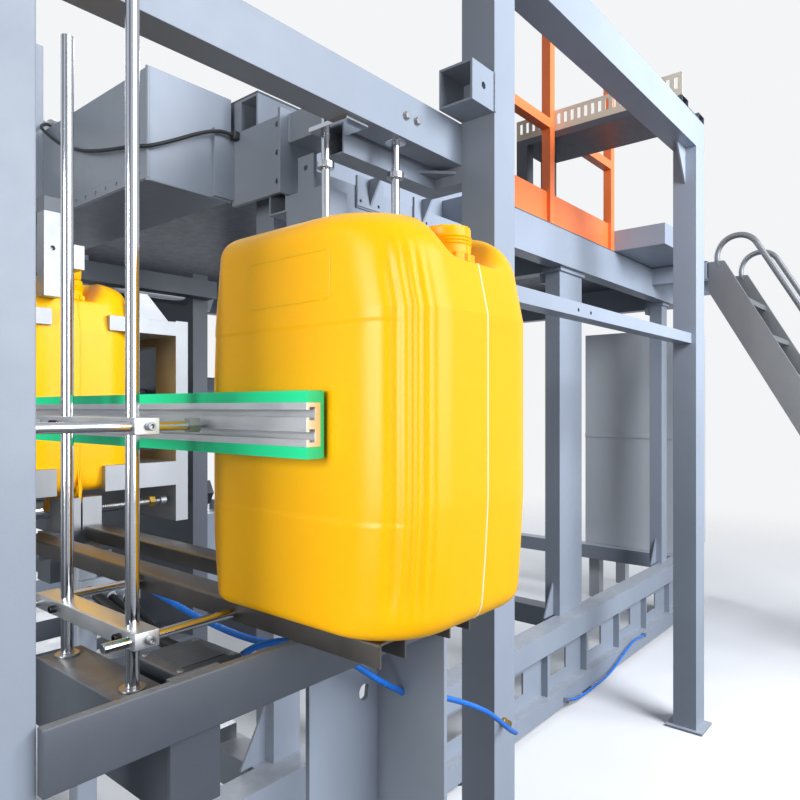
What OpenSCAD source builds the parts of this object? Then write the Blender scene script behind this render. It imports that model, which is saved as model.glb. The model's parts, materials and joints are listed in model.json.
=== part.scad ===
// Shuttle blow moulding machine for 30 litre jerry cans.
// The clamp closes along Y, the cans leave along +X, and Z is up from the floor.
// The mould axis at rest is the Z axis and the parting plane is Y = 0.

/* [Product can] */
// Length of the can along X
can_len = 335; // [260:1:345]
// Width of the can across the parting plane
can_wid = 284; // [220:1:292]
// Height of the can body
can_high = 455; // [380:1:470]
// Radius of the upright corners of the can
can_corner = 46; // [20:1:60]
// Outer diameter of the can's neck
neck_dia = 60; // [40:1:70]
// Distance of the neck ahead of the can's middle
neck_ahead = 122; // [100:1:124]
// Height of the neck over the can's top
neck_rise = 4; // [2:1:30]
// Thickness of the moulding flash
flash_thick = 3; // [1:0.5:5]

/* [Stations] */
// Middle of the finished can on its slide
slide_can_x = 1852; // [1820:1:1860]
// Middle of the can in the mask, which is also the shuttle's stroke
mask_can_x = 832; // [820:1:840]
// Underside of the can in the mask
mask_can_z = 1270; // [1262:1:1276]

/* [Discharge slide] */
// Height of the slide's running surface
slide_top = 1207; // [1195:1:1215]
// Depth of a slide rail
slide_deep = 31; // [24:1:40]
// Width of a slide rail
slide_wid = 45; // [35:1:46]
// Sheet thickness of a slide rail
slide_sheet = 2.5; // [1.5:0.5:4]
// Place of the front slide rail's near face
slide_front_y = -124; // [-128:1:-116]
// Place of the rear slide rail's near face
slide_rear_y = 2; // [0:1:20]
// Start of the slide rails
slide_start = 1030; // [1028:1:1060]
// End of the slide rails
slide_end = 1976; // [1950:1:2000]
// Width of the cross beam under the slide
cross_wid = 60; // [50:1:70]
// Depth of the cross beam under the slide
cross_deep = 60; // [50:1:80]
// Place of the cross beam's far side
cross_x = 1784; // [1780:1:1790]

/* [Guide rail] */
// Height of the guide rail's middle
guide_z = 1432; // [1426:1:1440]
// Height of the aluminium profile
profile_high = 48; // [42:1:60]
// Depth of the aluminium profile
profile_deep = 20; // [18:1:26]
// Start of the guide rail
guide_start = 1100; // [1080:1:1200]
// End of the guide rail
guide_end = 1915; // [1880:1:1940]
// Thickness of the green wear strip
strip_thick = 5; // [3:0.5:6]
// Height of the strip's lips above and below the profile
strip_lip = 13; // [8:1:16]
// Gap between the strip and the can
guide_gap = 5; // [3:0.5:10]
// Diameter of the upright rods
post_rod_dia = 16; // [12:1:20]
// Diameter of the adjusting rods
reach_rod_dia = 12; // [8:1:14]
// Place of the first upright rod
rod_a_x = 1527; // [1522:1:1532]
// Distance between the two upright rods
rod_pitch = 172; // [166:1:176]
// Place of both upright rods across the machine
rod_y = -252; // [-256:1:-250]
// Distance of an adjusting rod beyond its upright rod
reach_offset = 24; // [22:1:30]
// Depth of a clamp bar
bar_deep = 31; // [26:1:36]
// Height of a clamp bar
bar_high = 20; // [16:1:26]
// Top of the upright rods
rod_top = 1950; // [1900:1:2050]

/* [Base] */
// Top of the machine base
base_top = 416; // [400:1:430]
// Right side of the base
base_right = 995; // [990:1:1000]
// Left side of the base
base_left = -1900; // [-1920:1:-1880]
// Front of the base
base_front = -1200; // [-1240:1:-1180]
// Rear of the base
base_rear = 4245; // [4200:1:4260]
// Size of the base's square tube
base_tube = 100; // [90:1:105]
// Wall of the base's tubes
tube_wall = 6; // [4:1:8]
// Height of the levelling feet
foot_high = 30; // [20:1:40]

/* [Platform] */
// Underside of the platform beams
plat_under = 2153; // [2145:1:2160]
// Depth of the platform beams
plat_deep = 174; // [160:1:180]
// Right side of the platform
plat_right = 950; // [945:1:960]
// Front edge of the platform
plat_front = 517; // [517:1:530]
// Width of a platform beam
plat_beam = 80; // [70:1:90]
// Thickness of the deck plate
deck_thick = 6; // [4:1:8]
// Height of the guard rail over the deck
rail_high = 1000; // [900:1:1100]

/* [Guard frame] */
// Size of the guard posts
post_size = 100; // [80:1:105]
// Inner face of the front guard posts
guard_front = -411; // [-415:1:-405]
// Near face of the rear guard post beside the can
guard_mid = 801; // [795:1:810]
// Near face of the last guard post
guard_back = 2483; // [2470:1:2495]
// Far side of the guard posts beside the can
guard_x = 1441; // [1435:1:1445]
// Far side of the foremost guard post
near_post_x = 1730; // [1726:1:1740]
// Underside of the top guard beam
guard_top = 2620; // [2600:1:2640]
// Depth of the top guard beam
guard_deep = 130; // [100:1:140]

/* [Clamp] */
// Stroke of each mould half
mould_stroke = 250; // [200:1:255]
// Thickness of a mould half
mould_thick = 250; // [220:1:260]
// Length of the mould along X
mould_len = 480; // [440:1:490]
// Underside of the mould
mould_under = 1190; // [1185:1:1200]
// Top of the mould
mould_top = 1800; // [1790:1:1810]
// Thickness of a platen
platen_thick = 80; // [60:1:90]
// Width of a platen along X
platen_wid = 700; // [680:1:710]
// Top of the platens
platen_top = 1930; // [1925:1:1935]
// Underside of the platens
platen_under = 1060; // [1050:1:1070]
// Diameter of a tie bar
tie_dia = 60; // [50:1:64]
// Distance of the tie bars from the mould axis along X
tie_x = 296; // [290:1:300]
// Height of the lower tie bars
tie_low = 1140; // [1135:1:1145]
// Height of the upper tie bars
tie_high = 1850; // [1845:1:1855]
// Inner face of the clamp's end plates
end_in = 700; // [690:1:720]
// Thickness of an end plate
end_thick = 60; // [50:1:70]

/* [Extruder] */
// Height of the extruder's axis over the deck
screw_up = 367; // [360:1:380]
// Diameter of the screw
screw_dia = 90; // [80:1:100]
// Outer diameter of the barrel
barrel_dia = 170; // [160:1:180]
// Rear end of the barrel
barrel_end = 2950; // [2900:1:2960]
// Diameter of the die head
head_dia = 340; // [320:1:350]
// Height of the hopper over the barrel
hopper_high = 510; // [440:5:540]
// Width of the hopper
hopper_wide = 560; // [480:5:600]
// Width of the hopper's neck
hopper_neck = 130; // [110:5:150]
// Underside of the die
die_under = 1965; // [1960:1:1975]

/* [Fits] */
// Radial clearance of a rod in its bore
fit = 0.05; // [0.03:0.01:0.1]
// Gap between sliding faces
run_gap = 0.5; // [0.3:0.1:1]

/* [Hidden] */

steel = "#6f7884";
dark_steel = "#4a5058";
bright = "#c9ccd0";
alu = "#b9bdc2";
yellow = "#f7b500";
green = "#12b877";
orange = "#e8703a";
black = "#26282b";

half = [can_len / 2, can_wid / 2];
notch_r = 100;
notch_over = 68;
neck_root = 60;
head_x = -mask_can_x;
cross_top = slide_top - slide_deep;
strip_y = -half[1] - guide_gap;
profile_y = strip_y - strip_thick - profile_deep;
rod_xs = [rod_a_x, rod_a_x + rod_pitch];
reach_xs = [rod_a_x - reach_offset * 2, rod_a_x + rod_pitch + reach_offset];
clamp_x = [reach_xs[0] - 16, reach_xs[1] + 10];
low_bar_z = slide_top - slide_deep / 2;
high_bar_z = guide_z - profile_high / 2 + 21;
foot_top = cross_top - cross_deep + 2;
plat_top = plat_under + plat_deep;
deck_top = plat_top + deck_thick;
screw_z = deck_top + screw_up;
guard_end = guard_x + post_size;
column_y = [600, 2406, 3880];
column_deep = [100, 250, 100];
carriage_z = 640;

// The limits on both sides of a place
function span(at, reach) = [at + reach[0], at + reach[1]];

// A box between two limits on each axis
module block(x, y, z) {
  translate([x[0], y[0], z[0]])
    cube([x[1] - x[0], y[1] - y[0], z[1] - z[0]]);
}

// A rectangular tube along Z, X or Y with a given wall
module tube_z(x, y, z, wall) {
  difference() {
    block(x, y, z);
    block([x[0] + wall, x[1] - wall], [y[0] + wall, y[1] - wall], [z[0] - 1, z[1] + 1]);
  }
}

module tube_x(x, y, z, wall) {
  difference() {
    block(x, y, z);
    block([x[0] - 1, x[1] + 1], [y[0] + wall, y[1] - wall], [z[0] + wall, z[1] - wall]);
  }
}

module tube_y(x, y, z, wall) {
  difference() {
    block(x, y, z);
    block([x[0] + wall, x[1] - wall], [y[0] - 1, y[1] + 1], [z[0] + wall, z[1] - wall]);
  }
}

// Round bars from a point along an axis
module bar_z(at, dia, long) {
  translate(at) cylinder(d = dia, h = long, $fn = 40);
}

module bar_y(at, dia, long) {
  translate(at) rotate([-90, 0, 0]) cylinder(d = dia, h = long, $fn = 40);
}

module bar_x(at, dia, long) {
  translate(at) rotate([0, 90, 0]) cylinder(d = dia, h = long, $fn = 40);
}

// A flat rounded rectangle made of two bars and four circles
module rounded(x, y, r) {
  square([2 * x - 2 * r, 2 * y], center = true);
  square([2 * x, 2 * y - 2 * r], center = true);
  for (sx = [-1, 1], sy = [-1, 1])
    translate([sx * (x - r), sy * (y - r)]) circle(r = r, $fn = 48);
}

// Points of an arc, used in the outlines below
function arc(cx, cy, r, from, to, n) =
  [for (i = [0 : n]) let (a = from + (to - from) * i / n) [cx + r * cos(a), cy + r * sin(a)]];

// Side outline of the can: tapered foot, chamfered tail and rounded shoulder at the neck
module can_side() {
  l = half[0];
  h = can_high;
  polygon(concat(
    arc(-l + 56, 28, 28, 262, 196, 5),
    arc(-l + 30, 100, 30, 196, 180, 2),
    arc(-l + 60, h - 108, 60, 180, 160, 3),
    arc(-l + 88, h - 42, 42, 150, 90, 5),
    arc(l - 58, h - 60, 58, 84, 8, 7),
    arc(l - 34, 34, 34, 0, -84, 6)));
}

// The can's body with its neck notch, grip pockets and pressed side panels
module can_body() {
  difference() {
    intersection() {
      linear_extrude(can_high) rounded(half[0], half[1], can_corner);
      rotate([90, 0, 0]) linear_extrude(can_wid, center = true) can_side();
      rotate([90, 0, 90]) linear_extrude(can_len, center = true)
        translate([0, can_high / 2]) rounded(half[1], can_high / 2, can_corner * 0.7);
    }
    translate([neck_ahead - 60, 0, can_high + notch_over]) rotate([0, 105, 0])
      cylinder(r = notch_r, h = 200, $fn = 64);
    for (s = [-1, 1]) translate([-32, s * 34, can_high])
      cube([130, 30, 56], center = true);
    for (s = [-1, 1], x = [0, 21, 42])
      translate([half[0] - 40 + x * 0.86, s * (half[1] - 2 - x * 0.86), 60])
        cylinder(r = 3.5, h = can_high - 165, $fn = 20);
  }
  translate([neck_ahead, 0, can_high - neck_root]) can_neck();
}

module can_neck() {
  tall = neck_root + neck_rise;
  cylinder(d = neck_dia, h = tall, $fn = 64);
  for (i = [0 : 2]) translate([0, 0, tall - 8 - 8 * i])
    cylinder(d = neck_dia + 5, h = 3, $fn = 64);
  translate([0, 0, tall - 40]) cylinder(d = neck_dia + 16, h = 7, $fn = 64);
  for (a = [0 : 30 : 330]) rotate(a) translate([neck_dia / 2 + 2, -4, tall - 33])
    cube([5, 8, 5]);
}

// Finished can standing on the slide
module product_can() {
  color(yellow) translate([slide_can_x, 0, slide_top]) can_body();
}

// Can in the mask, with tail flash and neck flash still on it
module held_can() {
  color(yellow) translate([mask_can_x, 0, mask_can_z]) {
    can_body();
    rotate([90, 0, 0]) linear_extrude(flash_thick, center = true) tail_flash();
    translate([neck_ahead - 22, -flash_thick / 2, can_high + neck_rise]) neck_flash();
  }
}

module tail_flash() {
  difference() {
    union() {
      translate([0, -62]) square([half[0] + 6, 64]);
      translate([half[0] - 24, -20]) square([30, 84]);
      translate([half[0] + 6, -20]) circle(r = 22, $fn = 40);
    }
    translate([-0.5, 0]) can_side();
  }
}

module neck_flash() {
  translate([22, flash_thick / 2, 0]) rotate([90, 0, 0])
    linear_extrude(flash_thick, center = true) {
      translate([-24, 0]) square([48, 30]);
      translate([0, 30]) circle(r = 24, $fn = 40);
    }
}

// Fabricated side of the base: tubes above and below a web with stiffening ribs
module base_side(x0, web_x) {
  x = [x0, x0 + base_tube];
  ribs = floor((base_rear - base_front) / 420);
  low = foot_high + 80;
  tube_y(x, [base_front, base_rear], [base_top - base_tube, base_top], tube_wall);
  tube_y(x, [base_front, base_rear], [foot_high, low], tube_wall);
  difference() {
    block([web_x, web_x + 8], [base_front, base_rear], [low, base_top - base_tube]);
    for (i = [1 : ribs - 1])
      block([web_x - 1, web_x + 9], span(base_front + i * 420, [90, 250]), [low + 60, low + 160]);
  }
  for (i = [1 : ribs])
    block([web_x + 8, web_x + 40], span(base_front + i * 420, [0, 10]), [low, base_top - base_tube]);
}

module base_side_right() {
  color(steel) base_side(base_right - base_tube, base_right - 55);
}

module base_side_left() {
  color(steel) base_side(base_left, base_left + 15);
}

cross_ys = [base_front, -650, -base_tube / 2, 550, 1400, 2481, base_rear - base_tube];

module base_cross_beams() {
  x = [base_left + base_tube, base_right - base_tube];
  color(steel) for (y = cross_ys)
    tube_x(x, [y, y + base_tube], [base_top - base_tube, base_top], tube_wall);
  color(steel)
    tube_z([-40, 40], [-40, 40], [foot_high, base_top - base_tube], tube_wall);
}

foot_ys = [base_front + 150, 300, 1500, 2600, base_rear - 150];

module levelling_feet() {
  color(dark_steel) for (x = [base_left, base_right - base_tube], y = foot_ys) {
    bar_z([x + base_tube / 2, y, 0], 95, 14);
    bar_z([x + base_tube / 2, y, 14], 30, foot_high - 14);
  }
  color(dark_steel) bar_z([0, 0, 0], 130, foot_high);
}

// Columns carry the platform; each has a bearing pad on top and a gusset at its foot
module column(x, y, deep) {
  tube_z([x, x + plat_beam], [y, y + deep], [base_top, plat_under - 20], tube_wall);
  block([x - 12, x + plat_beam + 12], [y - 12, y + deep + 12], [plat_under - 20, plat_under]);
  block([x - 34, x], [y + 6, y + deep - 6], [plat_under - 70, plat_under - 20]);
  translate([x + plat_beam / 2 + 4, y, base_top]) rotate([90, 0, -90])
    linear_extrude(8) polygon([[0, 0], [90, 0], [0, 160]]);
}

column_right = base_right - base_tube - 57;
column_left = base_left + 10;

module platform_columns() {
  color(steel) for (i = [0 : 2]) {
    column(column_right, column_y[i], column_deep[i]);
    column(column_left, column_y[i], column_deep[i]);
  }
}

landing = [1276, 3608];

module platform_frame() {
  z = [plat_under, plat_top];
  inner = [base_left + plat_beam, plat_right - plat_beam];
  color(steel) {
    tube_y([plat_right - plat_beam, plat_right], [plat_front, base_rear], z, tube_wall);
    tube_y([base_left, base_left + plat_beam], [plat_front, base_rear], z, tube_wall);
    for (y = [plat_front, column_y[1] + 80, base_rear - plat_beam])
      tube_x(inner, [y, y + plat_beam], z, tube_wall);
    for (y = [landing[1], base_rear - plat_beam])
      tube_x([plat_right, landing[0]], [y, y + plat_beam], [plat_top - 100, plat_top], tube_wall);
    valve_box();
  }
}

// Sheet metal valve box that stands on the deck and reaches over to the landing
module valve_box() {
  block([plat_right - rail_tube, plat_right + 279], [rail_ys[2] + rail_tube + 2, landing[1] + 15],
    span(deck_top, [0, 113]));
}

module platform_deck() {
  z = [plat_top, deck_top];
  color(dark_steel) {
    block([base_left, plat_right], [plat_front, base_rear], z);
    block([plat_right, landing[0]], [landing[1], base_rear], z);
  }
}

// Orange posts, rails and toe board along the platform's right edge; the middle rail is
// interrupted where the cable tray passes, and rests on the tray's bridge
rail_tube = 45;
toe_high = 150;
rail_ys = [1610, 2244, 2965];
bridge_y = [2292, 2603];

module railing() {
  x = [plat_right - rail_tube, plat_right];
  top = deck_top + rail_high;
  last = rail_ys[2] + rail_tube;
  color(orange) {
    for (y = rail_ys) tube_z(x, [y, y + rail_tube], [deck_top, top - rail_tube], 3);
    tube_y(x, [rail_ys[0], last], [top - rail_tube, top], 3);
    tube_y(x, [rail_ys[0] + rail_tube, rail_ys[1]], span(tray_z, [0, rail_tube]), 3);
    tube_y(x, [bridge_y[1] - 60, rail_ys[2]], span(tray_z, [0, rail_tube]), 3);
    for (i = [0, 1])
      block(x + [18, -18], [rail_ys[i] + rail_tube, rail_ys[i + 1]], span(deck_top, [0, toe_high]));
  }
}

// Aluminium ladder: two stringers, level treads and bent handrails
ladder_run = 1304;
ladder_y = [landing[1] + 20, base_rear - 20];
treads = 9;

module ladder() {
  slope = atan2(plat_top - 0, ladder_run);
  color(alu) {
    for (y = [ladder_y[0], ladder_y[1] - 30]) ladder_side(y);
    for (i = [1 : treads]) {
      f = i / (treads + 1);
      x = landing[0] + ladder_run * f;
      z = plat_top * (1 - f);
      block([x - 80, x + 70], [ladder_y[0] + 30, ladder_y[1] - 30], [z - 15, z + 15]);
    }
    for (y = [ladder_y[0], ladder_y[1] - 30]) ladder_rail(y + 15, slope);
  }
}

module ladder_side(y) {
  translate([0, y + 30, 0]) rotate([90, 0, 0]) linear_extrude(30)
    polygon([[landing[0] + 0.3, plat_top], [landing[0] + 0.3, plat_top - 170],
      [landing[0] + ladder_run - 95, 0], [landing[0] + ladder_run + 75, 0],
      [landing[0] + 90, plat_top]]);
}

// Handrail: a half hoop at the top, a tube along the stringer and two spacers
module ladder_rail(y, slope) {
  r = 115;
  long = norm([ladder_run, plat_top]) * 0.8;
  out = [sin(slope), 0, cos(slope)];
  head = [landing[0] + 62, y, plat_top - 30];
  translate(head + out * r) rotate([90, 0, 0]) rotate(90 - slope)
    rotate_extrude(angle = 180, $fn = 64) translate([r, 0]) circle(d = 34, $fn = 32);
  translate(head + out * 2 * r) rotate([0, 90 + slope, 0]) {
    translate([0, 0, -6]) cylinder(d = 33.4, h = long + 6, $fn = 32);
    for (f = [0.45, 1]) translate([0, 0, long * f - 17]) rotate([0, 90, 0])
      cylinder(d = 26, h = 2 * r, $fn = 32);
  }
}

module guard_posts() {
  x = [guard_x, guard_end];
  front = [guard_front - post_size, guard_front];
  color(steel) {
    tube_z([near_post_x, near_post_x + post_size], front, [10, guard_top], 5);
    tube_z(x, front, [10, guard_top], 5);
    tube_z(x, [guard_mid, guard_mid + post_size], [10, guard_top], 5);
    tube_z(x, [guard_back, guard_back + 120], [10, guard_top], 5);
    for (p = [[near_post_x, front[0]], [guard_x, front[0]], [guard_x, guard_mid],
        [guard_x, guard_back]])
      block(span(p[0], [-30, post_size + 30]), span(p[1], [-20, post_size + 30]), [0, 10]);
  }
}

lintel_z = [2088, 2196];

module guard_beams() {
  x = [guard_x, guard_end];
  color(steel) {
    tube_y(x, [guard_mid, guard_back + 120], span(guard_top, [0, guard_deep]), 6);
    tube_x([guard_x, near_post_x + post_size], [guard_front - post_size, guard_front],
      span(guard_top, [0, 100]), 5);
    difference() {
      tube_y([guard_x + 20, guard_x + 80], [guard_mid + post_size, guard_back], [1740, 1785], 4);
      for (y = [1331, 1423]) bar_x([guard_x + 70, y, 1760], 12, 20);
    }
    lintel();
    inner_corner();
    stub_tube();
    translate([guard_x + 46, guard_back, guard_top]) rotate([-90, 0, -90])
      linear_extrude(8) polygon([[0, 0], [0, 160], [110, 0]]);
  }
}

// Channel over the slide, open to the machine's side
module lintel() {
  x = [guard_x - 70, guard_x];
  y = [guard_front - post_size, guard_mid + post_size];
  difference() {
    block(x, y, lintel_z);
    block([x[0] - 1, x[1] - 8], [y[0] - 1, y[1] + 1], lintel_z + [8, -8]);
    for (s = [570, 611]) bar_x([x[1] - 10, s, (lintel_z[0] + lintel_z[1]) / 2], 13, 20);
  }
}

// Corner of two tubes behind the lintel, with a flat gusset in it
module inner_corner() {
  x = [guard_x - 149, guard_x - 89];
  z = [2042, 2102];
  tube_y(x, [450, guard_mid + 60], z, 4);
  tube_x([x[1], guard_x], [guard_mid, guard_mid + 60], z, 4);
  translate([x[1], guard_mid, 2070]) linear_extrude(8) polygon([[0, 0], [0, -70], [70, 0]]);
}

module stub_tube() {
  difference() {
    tube_y([guard_x, guard_end], [guard_mid - 100, guard_mid], [2200, 2300], 6);
    bar_x([guard_end - 10, guard_mid - 50, 2250], 18, 20);
  }
}

tray_z = 2782;

// Slotted cable tray with a folded foot, standing on the bridge
module cable_tray() {
  x = [740, guard_end];
  color("#d9d2bd") difference() {
    union() {
      block(x, span(bridge_y[0], [0, 3]), [tray_z, tray_z + 98]);
      block(x, span(bridge_y[0], [3, 38]), [tray_z, tray_z + 3]);
    }
    for (i = [0 : floor((x[1] - x[0] - 40) / 34)])
      block([x[0] + 20, x[0] + 34] + [i * 34, i * 34], span(bridge_y[0], [-2, 4]), span(tray_z, [30, 80]));
  }
}

module cable_bridge() {
  color(dark_steel) {
    tube_x([740, guard_end], span(bridge_y[0], [0, 80]), [guard_top + guard_deep, tray_z], 3);
    tube_x([740, guard_end], span(bridge_y[1], [-80, 0]), [guard_top + guard_deep, tray_z], 3);
    block([740, guard_end], [bridge_y[0] + 80, bridge_y[1] - 80], span(guard_top + guard_deep, [0, 6]));
    for (y = [bridge_y[0], bridge_y[1] - 60])
      tube_z([740, 800], [y, y + 60], [deck_top, guard_top + guard_deep], 4);
  }
}

beam_y = [248, 501];
beam_z = [2040, 2330];
beam_end = 850;

// Box beam over the clamp that carries the die head and the blow pin
module top_beam() {
  x = [-1300, beam_end];
  color(steel) {
    tube_x([x[0], x[1] - 6], beam_y, beam_z, 8);
    block([x[1] - 6, x[1]], beam_y + [-6, 0], beam_z + [-5, 0]);
    difference() {
      block([x[0], x[1] - 6], [beam_y[0] - 4, beam_y[0]], span(beam_z[0], [2, 36]));
      for (i = [0 : 24]) bar_y([x[1] - 40 - i * 60, beam_y[0] - 5, beam_z[0] + 19], 12, 6);
    }
  }
}

// Plates, tubes and gussets that tie the box beam to the platform and to the lintel
tie_x_end = 1072;
tie_y = 505;
head_rail_z = [1973, 2110];

module top_brackets() {
  tie = [plat_front, plat_front + 100];
  color(steel) {
    difference() {
      block([beam_end, tie_x_end], [tie_y, plat_front], [2025, 2230]);
      for (k = [-1 : 1]) bar_y([tie_x_end - 24, tie_y - 1, 2133 + k * 76], 15, 14);
    }
    block([beam_end, beam_end + 12], [438, tie_y], [2040, 2230]);
    block([tie_x_end, tie_x_end + 10], [tie_y - 18, tie[1]], [2016, 2240]);
    tube_x([plat_right, tie_x_end], tie, [plat_under, 2230], 5);
    tube_x([tie_x_end + 10, guard_x - 70], tie, [plat_under, 2230], 5);
    head_rail();
    for (x = [-1250, -400, 500]) block([x, x + 90], [beam_y[1], plat_front], [plat_under, plat_top]);
  }
}

// Tube below the tie with two bolting plates and their fins on its right face
module head_rail() {
  x = [1000, tie_x_end];
  tube_y(x, [plat_front, 1500], head_rail_z, 5);
  block([x[1], 1209], [plat_front, plat_front + 90], [1928, 2014]);
  difference() {
    block([1118, 1178], [plat_front, plat_front + 10], [2014, 2104]);
    bar_y([1148, plat_front - 1, 2072], 14, 12);
  }
  block([plat_right, x[1]], [1380, 1460], [head_rail_z[1], 2230]);
  for (y = [[782, 898], [1051, 1137]]) {
    difference() {
      block(span(x[1], [0, 8]), y, [2050, 2140]);
      for (s = [14, y[1] - y[0] - 22]) bar_x([x[1] - 1, y[0] + s, 2066], 10, 10);
    }
    translate([x[1] + 8, (y[0] + y[1]) / 2 + 4, 2060]) rotate([90, 0, 0])
      linear_extrude(8) polygon([[0, 0], [44, 80], [0, 80]]);
  }
}

module slide_cross_beam() {
  x = [cross_x, cross_x + cross_wid];
  z = [cross_top - cross_deep, cross_top];
  color(dark_steel) {
    tube_y(x, [guard_front, 160], z, 5);
    tube_z(x, [100, 160], [10, z[0]], 5);
    block(x + [-20, 20], [80, 180], [0, 10]);
    block([slide_start + 40, slide_start + 80], [slide_front_y, slide_rear_y + slide_wid],
      span(cross_top, [-12, 0]));
    tube_z([slide_start + 40, slide_start + 80], [-50, -10], [10, cross_top - 12], 4);
    block([slide_start + 20, slide_start + 100], [-70, 10], [0, 10]);
  }
}

// Tube that carries the upright rods, welded to the cross beam by an end plate
module rod_foot() {
  color(steel) {
    tube_x([rod_xs[0] - 24, cross_x - 8], [rod_y - 31, rod_y + 30], span(foot_top, [-90, 0]), 4);
    block([cross_x - 8, cross_x], [rod_y - 31, rod_y + 30], [foot_top - 90, cross_top]);
  }
}

module upright_rods() {
  color(bright) for (x = rod_xs)
    bar_z([x, rod_y, foot_top], post_rod_dia, rod_top - foot_top);
}

module rod_collars() {
  bore = post_rod_dia + 2 * fit;
  color(bright) for (x = rod_xs) translate([x, rod_y, foot_top]) difference() {
    union() {
      cylinder(d = post_rod_dia + 22, h = 4, $fn = 48);
      cylinder(d = post_rod_dia + 8, h = 12, $fn = 48);
    }
    translate([0, 0, -1]) cylinder(d = bore, h = 20, $fn = 48);
  }
}

// Aluminium bars clamped on the upright rods, bored for the adjusting rods
module clamp_bar_at(z) {
  y = span(rod_y, [-bar_deep / 2, bar_deep / 2]);
  difference() {
    block(clamp_x, y, span(z, [-bar_high / 2, bar_high / 2]));
    for (x = rod_xs) bar_z([x, rod_y, z - 20], post_rod_dia + 2 * fit, 40);
    for (x = reach_xs) bar_y([x, y[0] - 1, z], reach_rod_dia + 2 * fit, bar_deep + 2);
  }
}

module clamp_bars() {
  color(alu) {
    clamp_bar_at(low_bar_z);
    clamp_bar_at(high_bar_z);
  }
}

bar_near = rod_y - bar_deep / 2;

// Adjusting rods: the lower ones end in the slide rail, the upper ones in the guide rail
module reach_rods() {
  color(bright) {
    bar_y([reach_xs[1], bar_near - 23, low_bar_z], reach_rod_dia, slide_front_y - bar_near + 23);
    bar_y([reach_xs[0], bar_near - 110, low_bar_z], reach_rod_dia,
      slide_front_y - bar_near + 110);
    for (x = reach_xs) {
      bar_y([x, bar_near - 127, high_bar_z], reach_rod_dia, profile_y - 22 - bar_near + 127);
      translate([x, profile_y - 22, high_bar_z]) rotate([-90, 0, 0])
        cylinder(d = 20, h = 15, $fn = 6);
      bar_y([x, profile_y - 7, high_bar_z], 8, 7);
    }
    bar_y([reach_xs[0], slide_front_y - 14, low_bar_z], 22, 8);
  }
}

// Socket head screws that lock the clamp bars
module screw_y(at) {
  difference() {
    bar_y(at - [0, 8, 0], 10, 8);
    translate(at - [0, 9, 0]) rotate([-90, 0, 0]) cylinder(d = 5, h = 5, $fn = 6);
  }
}

module screw_x(at) {
  difference() {
    bar_x(at, 10, 8);
    translate(at + [4, 0, 0]) rotate([0, 90, 0]) cylinder(d = 5, h = 5, $fn = 6);
  }
}

module clamp_screws() {
  color(dark_steel) for (z = [low_bar_z, high_bar_z]) {
    screw_x([clamp_x[1], rod_y + 2, z]);
    for (x = rod_xs) screw_y([x, bar_near, z]);
  }
}

// Aluminium profile with two undercut grooves that face away from the can
module guide_profile() {
  y = [profile_y, strip_y - strip_thick];
  z = span(guide_z, [-profile_high / 2, profile_high / 2]);
  color(alu) difference() {
    block([guide_start, guide_end], y, z);
    for (s = [-1, 1]) {
      zc = guide_z + s * profile_high / 4;
      block([guide_start - 1, guide_end + 1], [y[0] - 1, y[0] + 5], span(zc, [-4, 4]));
      block([guide_start - 1, guide_end + 1], [y[0] + 4, y[0] + 12], span(zc, [-7, 7]));
    }
  }
}

// Green wear strip wrapped round the profile, its web towards the can
module guide_strip() {
  x = [guide_start, guide_end];
  z = [guide_z - profile_high / 2, guide_z + profile_high / 2];
  color(green) {
    block(x, [strip_y - strip_thick, strip_y], [z[0] - strip_lip, z[1] + strip_lip]);
    for (s = [z[0] - strip_lip, z[1]])
      block(x, [profile_y, strip_y - strip_thick], span(s, [0, strip_lip]));
  }
}

// Folded channels with the flanges down
module slide_rails() {
  color(alu) for (y = [slide_front_y, slide_rear_y]) difference() {
    block([slide_start, slide_end], span(y, [0, slide_wid]), [cross_top, slide_top]);
    block([slide_start - 1, slide_end + 1], span(y, [slide_sheet, slide_wid - slide_sheet]),
      [cross_top - 1, slide_top - slide_sheet]);
  }
}

// Hanging rods with set collars and a clamp bar for the guide behind the can
hang = [[1329, 415], [1407, 571]];
hang_dia = 20;
hang_tops = [lintel_z[0] + 60, lintel_z[0]];
hang_low = 1330;

module hanging_rods() {
  bore = hang_dia + 2 * fit;
  across = hang[1] - hang[0];
  color(bright) for (i = [0, 1]) translate([hang[i][0], hang[i][1], 0]) {
    bar_z([0, 0, hang_low], hang_dia, hang_tops[i] - hang_low);
    difference() {
      bar_z([0, 0, 2000], 40, 14);
      bar_z([0, 0, 1999], bore, 20);
    }
  }
  color(alu) {
    difference() {
      translate([hang[0][0], hang[0][1], 0]) block([-20, guard_x - 10 - hang[0][0]], [-34, 34],
        span(lintel_z[0], [-10, 0]));
      bar_z([hang[0][0], hang[0][1], lintel_z[0] - 20], bore, 40);
    }
    difference() {
      translate([hang[0][0], hang[0][1], hang_low + 20]) rotate(atan2(across[1], across[0]))
        block([-20, norm(across) + 20], [-16, 16], [0, 22]);
      for (p = hang) bar_z([p[0], p[1], hang_low], bore, 60);
    }
  }
}

module junction_box() {
  color(dark_steel) {
    block([1585, 1690], [-186, -90], [1050, 1110]);
    block([1600, 1675], [-171, -105], [1110, 1113]);
    bar_x([1690, -138, 1080], 20, 18);
    block([1600, 1675], [rod_y + 30, -186], [1055, 1061]);
  }
}

// Air hoses clipped along the base, swept along chosen points
hose_low = [[1010, 2300, 60], [1012, 2420, 34], [1012, 2600, 30], [1012, 2800, 40],
  [1012, 3000, 90], [1012, 3150, 120], [1010, 3300, 110]];

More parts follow.
